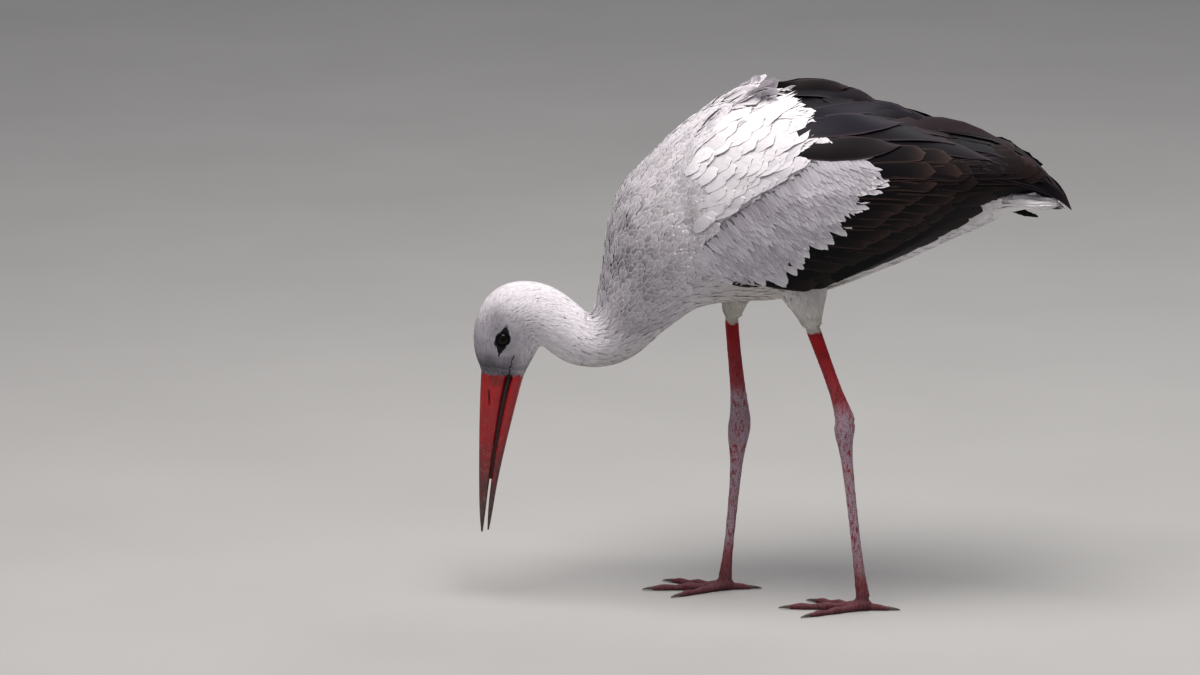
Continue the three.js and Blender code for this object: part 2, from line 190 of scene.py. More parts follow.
def read(items: bpy.types.bpy_prop_collection, name: str, width: int, kind: type) -> Array:
    """Read one value of every vertex, edge, face or corner of a mesh.

    Args:
        items: The mesh's vertices, edges, faces, corners or normals.
        name: Which value.
        width: How many numbers it has.
        kind: What kind of numbers they are.

    Returns:
        One row an item.
    """
    flat = np.empty(len(items) * width, dtype=kind)
    items.foreach_get(name, flat)
    return flat.reshape(-1, width)


def points_of(piece: bpy.types.Object) -> Array:
    """Read a mesh's vertex places as an array of rows."""
    return read(piece.data.vertices, "co", 3, float)


def put_points(piece: bpy.types.Object, places: Array) -> None:
    """Write a mesh's vertex places from an array of rows."""
    piece.data.vertices.foreach_set("co", np.ascontiguousarray(places, dtype=float).ravel())
    piece.data.update()


def normals_of(piece: bpy.types.Object) -> Array:
    """Read a mesh's vertex normals as an array of rows."""
    return read(piece.data.vertex_normals, "vector", 3, np.float32).astype(float)


def edges_of(piece: bpy.types.Object) -> Array:
    """Read the two vertex numbers of every edge."""
    return read(piece.data.edges, "vertices", 2, np.int32)


def blur(values: Array, edges: Array, rounds: int) -> Array:
    """Average values with those of the neighbouring vertices.

    Args:
        values: One row for each vertex.
        edges: Pairs of vertex numbers.
        rounds: How many times to average.

    Returns:
        The blurred values.
    """
    rows = values.reshape(len(values), -1)
    ends = np.concatenate([edges[:, 0], edges[:, 1]])
    others = np.concatenate([edges[:, 1], edges[:, 0]])
    count = np.maximum(np.bincount(ends, minlength=len(rows)), 1)
    for _ in range(rounds):
        mean = [np.bincount(ends, rows[others, k], len(rows)) / count for k in range(rows.shape[1])]
        rows = (rows + np.stack(mean, axis=1)) / 2
    return rows.reshape(values.shape)


def select_only(*pieces: bpy.types.Object) -> None:
    """Leave only the given pieces selected, the first of them active."""
    for other in bpy.context.selected_objects:
        other.select_set(False)
    for piece in pieces:
        piece.select_set(True)
    bpy.context.view_layer.objects.active = pieces[0] if pieces else None


def modify(piece: bpy.types.Object, kind: str, **settings: object) -> None:
    """Add one modifier to a piece and apply it.

    Args:
        piece: The piece.
        kind: The modifier's type.
        settings: Its values by attribute name.
    """
    modifier = piece.modifiers.new(kind.lower(), kind)
    for name, value in settings.items():
        setattr(modifier, name, value)
    select_only(piece)
    bpy.ops.object.modifier_apply(modifier=modifier.name)


def new_object(name: str, data: bpy.types.ID) -> bpy.types.Object:
    """Put new data into the scene as an object."""
    made = bpy.data.objects.new(name, data)
    bpy.context.scene.collection.objects.link(made)
    return made


def copy_of(name: str, nodes: Sequence[bpy.types.Object]) -> bpy.types.Object:
    """Copy some CAD nodes to one new mesh with its doubles merged.

    Args:
        name: The new object's name.
        nodes: The nodes to copy.

    Returns:
        The joined copy.
    """
    joined = bmesh.new()
    for node in nodes:
        joined.from_mesh(node.data)
    bmesh.ops.remove_doubles(joined, verts=joined.verts, dist=0.01 * MM)
    mesh = bpy.data.meshes.new(name)
    joined.to_mesh(mesh)
    joined.free()
    return new_object(name, mesh)


@contextmanager
def editing(piece: bpy.types.Object) -> Iterator[bmesh.types.BMesh]:
    """Open a piece's mesh for editing, and write it back afterwards."""
    work = bmesh.new()
    work.from_mesh(piece.data)
    yield work
    work.to_mesh(piece.data)
    work.free()


def nearest_value(nodes: Sequence[bpy.types.Object], values: Sequence[float], points: Array) -> Array:
    """Give each point the value of the node that is nearest to it.

    Args:
        nodes: CAD nodes.
        values: One value a node.
        points: Rows of places.

    Returns:
        One value a point.
    """
    spots, faces, owner = [], [], []
    for node, value in zip(nodes, values):
        start = len(spots)
        spots.extend(tuple(vertex.co) for vertex in node.data.vertices)
        faces.extend([start + corner for corner in face.vertices] for face in node.data.polygons)
        owner.extend([value] * len(node.data.polygons))
    tree = BVHTree.FromPolygons(spots, faces)
    return np.array([owner[tree.find_nearest(point)[2]] for point in points.tolist()])


def wall_behind(piece: bpy.types.Object, places: Array, start_mm: float) -> Array:
    """Measure how thick a closed piece is behind each vertex.

    Args:
        piece: The piece.
        places: Its vertex places.
        start_mm: How far inside the surface the measuring starts.

    Returns:
        One thickness a vertex, in metres.
    """
    normals = normals_of(piece)
    tree = BVHTree.FromPolygons(places.tolist(), [tuple(face.vertices) for face in piece.data.polygons])
    starts = places - normals * start_mm * MM
    return np.array([tree.ray_cast(Vector(start), Vector(-normal), THICKEST)[3] or THICKEST
                     for start, normal in zip(starts, normals)])


def colour_points(piece: bpy.types.Object, name: str, colours: Array) -> None:
    """Store one linear colour for each vertex in a colour attribute."""
    layer = piece.data.color_attributes.new(name, "FLOAT_COLOR", "POINT")
    rows = np.concatenate([colours, np.ones((len(colours), 1))], axis=1)
    layer.data.foreach_set("color", rows.astype(np.float32).ravel())


def shade_smooth(piece: bpy.types.Object, angle: float = 50.0) -> None:
    """Shade a piece smooth, apart from the edges that bend more than `angle` degrees."""
    select_only(piece)
    bpy.ops.object.shade_smooth_by_angle(angle=math.radians(angle))


def finish_piece(piece: bpy.types.Object, finish: "Finish", slot: str, *nodes: str) -> bpy.types.Object:
    """Dress a finished piece and hand it to the frame.

    Args:
        piece: The piece, with its place in its mesh.
        finish: What its surface is made of.
        slot: The record's material slot, which is not used.
        nodes: The CAD nodes that it stands for.

    Returns:
        The same piece.
    """
    piece.data.materials.clear()
    piece.data.materials.append(finish.material())
    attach(piece, "root")
    if nodes:
        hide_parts(*nodes)
    LOG.info("%s: %d faces", piece.name, len(piece.data.polygons))
    return piece


# ------------------------------------------------------------------ finishes

Painted = dict[str, bpy.types.NodeSocket]
# Settings that several nodes share: numbers multiplied, and colours multiplied.
TIMES = {"operation": "MULTIPLY"}
DARKENED = {"data_type": "RGBA", "blend_type": "MULTIPLY", 0: 1.0}


@dataclass(frozen=True)
class Finish:
    """What a surface is made of, with the gloss and the relief that the whole of it shares."""

    name: str
    roughness: float
    ior: float = 1.5
    specular: float = 0.5
    relief: Pair = (0.3, 0.2)  # the bump's strength, and its depth in millimetres

    def material(self) -> bpy.types.Material:
        """Make the Blender material, or find it if it was made before."""
        made = bpy.data.materials.get(self.name)
        if made:
            return made
        made = bpy.data.materials.new(self.name)
        made.use_nodes = True
        tree = made.node_tree
        shader = tree.nodes["Principled BSDF"]
        for name, value in self.sockets().items():
            shader.inputs[name].default_value = value
        shown = self.paint(tree)
        if "Height" in shown:
            strength, depth_mm = self.relief
            shown["Normal"] = add(tree, "Bump", {"Strength": strength, "Distance": depth_mm * MM},
                                  {"Height": shown.pop("Height")})[0]
        for name, source in shown.items():
            tree.links.new(source, shader.inputs[name])
        return made

    def sockets(self) -> dict[str, float]:
        """Return the shader's plain settings by the names of its sockets."""
        return {"Roughness": self.roughness, "IOR": self.ior, "Specular IOR Level": self.specular}

    def paint(self, tree: bpy.types.NodeTree) -> Painted:
        """Add the nodes of the pattern.

        Args:
            tree: The material's node tree.

        Returns:
            Sockets by the shader's input that they feed, with the relief's under Height.
        """
        raise NotImplementedError


@dataclass(frozen=True)
class VaneFinish(Finish):
    """Feather vane: a keratin shaft with parallel barbs that leave it at a slant and part here and there.

    The barbs break up the light, so white vanes look matt and silky and black ones keep a low gloss.
    """

    barb_pitch_mm: float = 1.1  # true barbs stand 0.3 mm apart; this is the pitch of their visible clumps
    barb_depth: float = 0.2
    sheen: float = 0.2
    specular: float = 0.3

    def sockets(self) -> dict[str, float]:
        """Return the plain settings, with the soft sheen of the barbs."""
        return super().sockets() | {"Sheen Weight": self.sheen, "Sheen Roughness": 0.6}

    def paint(self, tree: bpy.types.NodeTree) -> Painted:
        """Add slanting barbs over the vane's own colour."""
        coat = add(tree, "Attribute", {"attribute_name": "Coat"})["Color"]
        chart = add(tree, "UVMap", {"uv_map": "Vane"})["UV"]
        parts = add(tree, "SeparateXYZ", links={0: chart})
        across = add(tree, "Math", {"operation": "ABSOLUTE"}, {0: parts["X"]})[0]
        slant = add(tree, "Math", {"operation": "MULTIPLY_ADD", 1: -1.3}, {0: across, 2: parts["Y"]})[0]
        run = add(tree, "CombineXYZ", links={0: slant, 1: across})[0]
        # The chart is in centimetres, so a scale of 10 / pitch gives one clump for each pitch.
        stretched = add(tree, "Mapping", {"vector_type": "POINT", "Scale": (1.0, 0.12, 1.0)},
                        {"Vector": run})[0]
        barbs = add(tree, "TexNoise", {"Scale": 10 / self.barb_pitch_mm, "Detail": 2.0},
                    {"Vector": stretched})[0]
        depth = add(tree, "MapRange", {1: 0.35, 2: 0.68, 3: 1.0 - self.barb_depth, 4: 1.0}, {0: barbs})[0]
        mixed = add(tree, "Mix", DARKENED, {6: coat, 7: depth})[2]
        return {"Base Color": mixed, "Height": barbs}


@dataclass(frozen=True)
class SkinFinish(Finish):
    """Living skin: dull and dark on the face, and small horny scales on the legs.

    The leg scales are polygons under 2 mm across. Dried droppings whiten their tops and leave the red seams.
    """

    specular: float = 0.2
    relief: Pair = (0.6, 0.4)
    scale_mm: float = 1.7

    def paint(self, tree: bpy.types.NodeTree) -> Painted:
        """Add scales with a pale crust over the skin's own colour."""
        flesh = add(tree, "Attribute", {"attribute_name": "Flesh"})["Color"]
        crust = add(tree, "Attribute", {"attribute_name": "Crust"})["Fac"]
        scaly = add(tree, "Attribute", {"attribute_name": "Scaly"})["Fac"]
        place = add(tree, "TexCoord")["Object"]
        # A leg's scales are a little longer than they are wide.
        cells_at = add(tree, "Mapping", {"Scale": (1.0, 1.0, 0.55)}, {"Vector": place})[0]
        cells = add(tree, "TexVoronoi", {"feature": "DISTANCE_TO_EDGE", "Scale": 1 / (self.scale_mm * MM)},
                    {"Vector": cells_at})["Distance"]
        tops = add(tree, "MapRange", {1: 0.0, 2: 0.16, 3: 0.5, 4: 1.0}, {0: cells})[0]
        run_at = add(tree, "Mapping", {"Scale": (1.0, 1.0, 0.3)}, {"Vector": place})[0]
        flakes = add(tree, "TexNoise", {"Scale": 1 / (2.6 * MM), "Detail": 4.0, "Roughness": 0.65},
                     {"Vector": run_at})[0]
        ragged = add(tree, "MapRange", {1: 0.36, 2: 0.5}, {0: flakes})[0]
        worn = add(tree, "Math", TIMES, {0: tops, 1: ragged})[0]
        amount = add(tree, "Math", TIMES, {0: worn, 1: crust})[0]
        shown = add(tree, "Mix", {"data_type": "RGBA", 7: linear("#a596a2")}, {0: amount, 6: flesh})[2]
        seams = add(tree, "MapRange", {1: 0.0, 2: 0.1, 3: 0.7, 4: 1.0}, {0: cells})[0]
        shaded = add(tree, "Mix", DARKENED, {0: scaly, 6: shown, 7: seams})[2]
        raised = add(tree, "Math", TIMES, {0: tops, 1: scaly})[0]
        return {"Base Color": shaded, "Height": raised}


@dataclass(frozen=True)
class BillFinish(Finish):
    """Bill horn: red keratin with a satin polish, smeared with drying mud towards the tip."""

    relief: Pair = (0.25, 0.3)
    root_mm: float = 262.0  # height of the bill's root over the floor
    tip_mm: float = 76.0  # height of its tip

    def paint(self, tree: bpy.types.NodeTree) -> Painted:
        """Add the red horn, fine scratches along it and the mud."""
        place = add(tree, "TexCoord")["Object"]
        height = add(tree, "SeparateXYZ", links={0: place})["Z"]
        along = add(tree, "MapRange", {1: self.root_mm * MM, 2: self.tip_mm * MM}, {0: height})[0]
        blotch = add(tree, "TexNoise", {"Scale": 1 / (16 * MM), "Detail": 5.0, "Roughness": 0.7},
                     {"Vector": place})[0]
        drift = add(tree, "MapRange", {1: 0.3, 2: 0.7, 3: -0.12, 4: 0.12}, {0: blotch})[0]
        shifted = add(tree, "Math", {"operation": "ADD", "use_clamp": True}, {0: along, 1: drift})[0]
        horn = add(tree, "ValToRGB", {"stops": (
            (0.0, "#7b0a10"), (0.1, "#a80c14"), (0.4, "#98121a"), (0.62, "#682025"), (0.8, "#4c2f30"),
            (1.0, "#33261f"))}, {0: shifted})[0]
        grain_at = add(tree, "Mapping", {"Scale": (1.0, 1.0, 0.06)}, {"Vector": place})[0]
        grain = add(tree, "TexNoise", {"Scale": 1 / (1.4 * MM), "Detail": 3.0}, {"Vector": grain_at})[0]
        streak = add(tree, "MapRange", {1: 0.3, 2: 0.7, 3: 0.78, 4: 1.08}, {0: grain})[0]
        grained = add(tree, "Mix", DARKENED, {6: horn, 7: streak})[2]
        mud_at = add(tree, "TexNoise", {"Scale": 1 / (5 * MM), "Detail": 6.0, "Roughness": 0.75},
                     {"Vector": place})[0]
        specks = add(tree, "MapRange", {1: 0.52, 2: 0.66}, {0: mud_at})[0]
        muddy = add(tree, "Math", TIMES, {0: specks, 1: along})[0]
        slit_and_mouth_shade = add(tree, "Attribute", {"attribute_name": "Mark"})["Color"]
        soiled = add(tree, "Mix", {"data_type": "RGBA", 7: linear("#7d6f66")}, {0: muddy, 6: grained})[2]
        shown = add(tree, "Mix", DARKENED, {6: soiled, 7: slit_and_mouth_shade})[2]
        gloss = add(tree, "MapRange", {3: self.roughness, 4: 0.8}, {0: muddy})[0]
        return {"Base Color": shown, "Roughness": gloss, "Height": grain}


@dataclass(frozen=True)
class EyeFinish(Finish):
    """Eye: a dark brown iris and black pupil under a wet, clear cornea."""

    specular: float = 0.05

    def sockets(self) -> dict[str, float]:
        """Return the plain settings, with the film of tears over the ball."""
        return super().sockets() | {"Coat Weight": 0.16, "Coat Roughness": 0.03}

    def paint(self, tree: bpy.types.NodeTree) -> Painted:
        """Add the ring of the iris from the ball's own colour."""
        iris = add(tree, "Attribute", {"attribute_name": "Iris"})["Color"]
        place = add(tree, "TexCoord")["Object"]
        fibres = add(tree, "TexNoise", {"Scale": 1 / (0.8 * MM), "Detail": 3.0}, {"Vector": place})[0]
        depth = add(tree, "MapRange", {1: 0.3, 2: 0.7, 3: 0.6, 4: 1.3}, {0: fibres})[0]
        shown = add(tree, "Mix", DARKENED, {6: iris, 7: depth})[2]
        return {"Base Color": shown}


@dataclass(frozen=True)
class ClawFinish(Finish):
    """Claw horn: dark brown, with paler streaks and scuffs."""

    def paint(self, tree: bpy.types.NodeTree) -> Painted:
        """Add streaks of growth and scuffs."""
        place = add(tree, "TexCoord")["Object"]
        growth = add(tree, "TexNoise", {"Scale": 1 / (2.5 * MM), "Detail": 4.0}, {"Vector": place})[0]
        horn = add(tree, "ValToRGB", {"stops": ((0.3, "#2b2320"), (0.6, "#54453e"), (0.8, "#7d6c60"))},
                   {0: growth})[0]
        return {"Base Color": horn, "Height": growth}


@dataclass(frozen=True)
class FloorFinish(Finish):
    """Studio floor: matt pale paper with the faintest mottling."""

    def paint(self, tree: bpy.types.NodeTree) -> Painted:
        """Add a plain pale colour."""
        place = add(tree, "TexCoord")["Object"]
        mottle = add(tree, "TexNoise", {"Scale": 3.0}, {"Vector": place})[0]
        paper = add(tree, "ValToRGB", {"stops": ((0.3, "#a5a5a3"), (0.7, "#a9a9a7"))}, {0: mottle})[0]
        return {"Base Color": paper}


WHITE_VANE = VaneFinish("white feather vane", roughness=0.85)
BLACK_VANE = VaneFinish("black feather vane", roughness=0.5, sheen=0.0, specular=0.1, barb_depth=0.3)
SKIN = SkinFinish("skin and leg scales", roughness=0.62)
BILL_HORN = BillFinish("bill horn", roughness=0.34)
WET_EYE = EyeFinish("wet eye", roughness=0.25, ior=1.38)
CLAW_HORN = ClawFinish("claw horn", roughness=0.5)
PAPER = FloorFinish("studio floor", roughness=0.9)
WHITE = (WHITE_VANE, "plumage_white")  # finish and material slot
BLACK = (BLACK_VANE, "plumage_black")


# ------------------------------------------------------------------ form and lie

class Spine:
    """The bird's mid line in the plane y = 0, from the bill's root over the neck and back to the tail."""

    KNOTS_MM = ((-298, 259), (-296, 288), (-287, 314), (-265, 324), (-237, 313), (-210, 297), (-185, 298),
                (-162, 321), (-133, 361), (-93, 401), (-24, 443), (57, 466), (143, 464), (214, 456),
                (330, 446))
    STEPS = 12

    def __init__(self) -> None:
        """Run a smooth line through the knots."""
        knots = np.array(self.KNOTS_MM, dtype=float)
        ends = np.concatenate([[2 * knots[0] - knots[1]], knots, [2 * knots[-1] - knots[-2]]])
        share = (np.arange(self.STEPS) / self.STEPS)[:, None]
        runs = []
        for a, b, c, d in zip(ends, ends[1:], ends[2:], ends[3:]):
            runs.append(0.5 * (2 * b + (c - a) * share + (2 * a - 5 * b + 4 * c - d) * share ** 2
                               + (3 * b - a - 3 * c + d) * share ** 3))
        flat = np.concatenate(runs + [knots[-1:]])
        self.line = np.stack([flat[:, 0], np.zeros(len(flat)), flat[:, 1]], axis=1) * MM
        self.ways = unit(np.gradient(self.line, axis=0))
        gaps = np.linalg.norm(np.diff(self.line, axis=0), axis=1)
        self.run = np.concatenate([[0], np.cumsum(gaps)]) / MM

    def nearest(self, points: Array) -> Array:
        """Find the number of the nearest step of the line for each point."""
        flat = points[:, None, (0, 2)] - self.line[None, :, (0, 2)]
        return (flat ** 2).sum(axis=2).argmin(axis=1)

    def lie(self, points: Array) -> Array:
        """Return the direction from bill to tail at each point."""
        return self.ways[self.nearest(points)]

    def chart(self, points: Array) -> Array:
        """Unroll points round the line to a flat chart.

        Args:
            points: Places on the bird.

        Returns:
            One row a point: the share of the line's length, and the share of a turn round it.
        """
        at = self.nearest(points)
        out = points - self.line[at]
        up = np.cross(self.ways[at], [0.0, -1.0, 0.0])
        turn = np.arctan2(out[:, 1], dot(out, up)[:, 0]) / math.tau + 0.5
        return np.stack([self.run[at] / self.run[-1], turn], axis=1)


class Surface:
    """A closed mesh that feathers are laid on."""

    DRAWS = 5  # places drawn for each square of the spacing, of which those too near to others are left out

    def __init__(self, piece: bpy.types.Object) -> None:
        """Take the mesh's triangles and smooth normals."""
        modify(piece, "TRIANGULATE")
        self.places = points_of(piece)
        self.normals = normals_of(piece)
        self.corners = read(piece.data.polygons, "vertices", 3, np.int32)
        self.tree = BVHTree.FromPolygons(self.places.tolist(), self.corners.tolist())
        self.centres = self.places[self.corners].mean(axis=1)
        first, second, third = (self.places[self.corners[:, k]] for k in range(3))
        self.areas = np.linalg.norm(np.cross(second - first, third - first), axis=1) / 2

    def cling(self, points: Array) -> tuple[Array, Array]:
        """Find the nearest place on the surface for each point.

        Args:
            points: Rows of places.

        Returns:
            The nearest places and the smooth normals there.
        """
        found = [self.tree.find_nearest(point) for point in points.tolist()]
        places = np.array([tuple(hit[0]) for hit in found])
        faces = np.array([hit[2] for hit in found])
        return places, self.smooth_normals(places, faces)

    def smooth_normals(self, places: Array, faces: Array) -> Array:
        """Blend the normals of each face's corners by how near they are."""
        corners = self.corners[faces]
        gaps = np.linalg.norm(self.places[corners] - places[:, None], axis=2)
        return unit((self.normals[corners] / (gaps + 0.1 * MM)[..., None]).sum(axis=1))

    def drape(self, flat: Array, side: int) -> tuple[Array, Array]:
        """Drop places in the side view straight onto the bird's flank.

        Args:
            flat: Rows of x and z.
            side: -1 for the left flank and 1 for the right one.

        Returns:
            The places and the smooth normals there.
        """
        way = Vector((0, -side, 0))
        places, normals, last = [], [], None
        for x, z in flat.tolist():
            hit = self.tree.ray_cast(Vector((x, side * FAR_OUT, z)), way, FAR_OUT)
            if hit[0] is None:
                near = self.tree.find_nearest(Vector((x, side * (last or 0.0), z)))
                spot = np.array([x, near[0].y, z])
                normal = self.smooth_normals(np.array([tuple(near[0])]), np.array([near[2]]))[0]
                normal = unit(normal * 0.3 + np.array([0, side * 0.7, 0]))
            else:
                spot = np.array(hit[0])
                normal = self.smooth_normals(spot[None], np.array([hit[2]]))[0]
            last = abs(spot[1])
            places.append(spot)
            normals.append(normal)
        return np.array(places), np.array(normals)

    def march(self, roots: Array, ways: Array, lengths: Array, steps: int) -> tuple[Array, Array]:
        """Walk over the surface from each root.

        Args:
            roots: Where each walk starts.
            ways: Which way it goes.
            lengths: How far.
            steps: In how many equal steps.

        Returns:
            The lines and the normals along them, one row of steps + 1 places a root.
        """
        places, normals = self.cling(roots)
        ways = unit(ways - dot(ways, normals) * normals)
        lines, ups = [places], [normals]
        step = (lengths / steps)[:, None]
        for _ in range(steps):
            ahead = places + ways * step
            held, fresh = self.cling(ahead)
            # Past an edge the feather goes straight on, and does not double back.
            free = np.linalg.norm(held - ahead, axis=1, keepdims=True) > 0.45 * step
            places = np.where(free, ahead, held)
            normals = np.where(free, normals, unit(fresh + 0.5 * normals))
            ways = unit(ways - dot(ways, normals) * normals)
            lines.append(places)
            ups.append(normals)
        return np.stack(lines, axis=1), np.stack(ups, axis=1)

    def scatter(self, spacing: float, rng: np.random.Generator, wanted: Array) -> tuple[Array, Array]:
        """Spread roots evenly over some of the faces.

        Args:
            spacing: The least distance between two roots.
            rng: The source of chance.
            wanted: For each face, whether it may have roots.

        Returns:
            The places and the smooth normals.
        """
        areas = self.areas * wanted
        count = int(areas.sum() / spacing ** 2 * self.DRAWS)
        faces = rng.choice(len(areas), count, p=areas / areas.sum())
        share = rng.random((count, 2))
        share = np.where(share.sum(axis=1, keepdims=True) > 1, 1 - share, share)
        first, second, third = (self.places[self.corners[faces, k]] for k in range(3))
        places = first + (second - first) * share[:, :1] + (third - first) * share[:, 1:]
        cells: dict[tuple[int, int, int], list[Triple]] = {}
        kept = []
        offsets = [(i, j, k) for i in (-1, 0, 1) for j in (-1, 0, 1) for k in (-1, 0, 1)]
        numbers = np.floor(places / spacing).astype(int).tolist()
        for number, ((x, y, z), (a, b, c)) in enumerate(zip(places.tolist(), numbers)):
            near = [other for i, j, k in offsets for other in cells.get((a + i, b + j, c + k), ())]
            if all((x - u) ** 2 + (y - v) ** 2 + (z - w) ** 2 > spacing ** 2 for u, v, w in near):
                cells.setdefault((a, b, c), []).append((x, y, z))
                kept.append(number)
        return places[kept], self.smooth_normals(places[kept], faces[kept])


class Bird:
    """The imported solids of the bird, and the smooth outer form that the plumage follows."""

    FORM = ("head", "bill_upper", "bill_lower", "neck_upper", "neck_lower", "trunk", "tail",
            "thigh_left", "thigh_right") + tuple(f"wing_{side}_{part}" for side in SIDES
                                                 for part in ("coverts", "secondaries", "primaries"))

    def __init__(self, frame: dict) -> None:
        """Make the outer form and find which solid each of its faces belongs to."""
        self.nodes = frame["nodes"]
        self.spine = Spine()
        whole = copy_of("outer_form", [self.nodes[name] for name in self.FORM])
        modify(whole, "REMESH", mode="VOXEL", voxel_size=FORM_VOXEL_MM * MM)
        put_points(whole, blur(points_of(whole), edges_of(whole), 3))
        self.form = Surface(whole)
        self.owner = nearest_value([self.nodes[name] for name in self.FORM], range(len(self.FORM)),
                                   self.form.centres)
        bpy.data.objects.remove(whole)
        LOG.info("outer form: %d faces", len(self.owner))

    def faces_of(self, *names: str) -> Array:
        """Mark the faces of the outer form that belong to the named solids."""
        return np.isin(self.owner, [self.FORM.index(name) for name in names])


# ------------------------------------------------------------------ vanes

class Outline(Enum):
    """How the half width of a vane runs from its root to its tip.

    A value has the share of the widest at the root, how fast it grows from there, the share of the length
    where it begins to close, how far it closes, how late, and the power that rounds the tip.
    """

    SILK = ()
    ROUND = (0.4, 1.9, 0.55, 0.94, 2.4, 0.5)
    LANCE = (0.45, 2.2, 0.35, 0.93, 1.6, 1.0)
    QUILL = (0.5, 2.0, 0.86, 0.96, 2.2, 0.5)
    LEAF = (0.5, 1.5, 0.45, 0.88, 2.3, 1.0)

    def half_width(self, share: Array) -> Array:
        """Return how wide a vane is along its length.

        Args:
            share: Shares of the length.

        Returns:
            The half width at each of them, as a share of the widest.
        """
        if self is Outline.SILK:
            return 0.12 + 0.88 * np.sin(np.pi * np.clip(share, 0, 1) ** 0.8) ** 0.8
        root, growth, turn, closing, late, power = self.value
        taper = 1 - closing * np.clip((share - turn) / (1 - turn), 0, 1) ** late
        return np.minimum(root + growth * share, 1) * taper ** power


@dataclass(frozen=True)
class VaneForm:
    """The shape that the vanes of one bundle share. Heights are over the outer form."""

    outline: Outline
    columns: int = 3
    rows: int = 3
    thickness_mm: float = 0.35
    camber: float = 0.16  # how far the middle stands over the edges, as a share of the width
    sink_mm: float = 1.4  # how far the root lies under the outer form
    lift_mm: float = 0.2  # how far the tip stands over it
    ragged: float = 0.0  # unevenness of the edge and tip, as a share of the width
    root_shade: float = 0.75  # light left at the root, where the next vane shades it
    edge: str = "#f6f4f3"  # colour of the fringe
    edge_share: float = 0.35


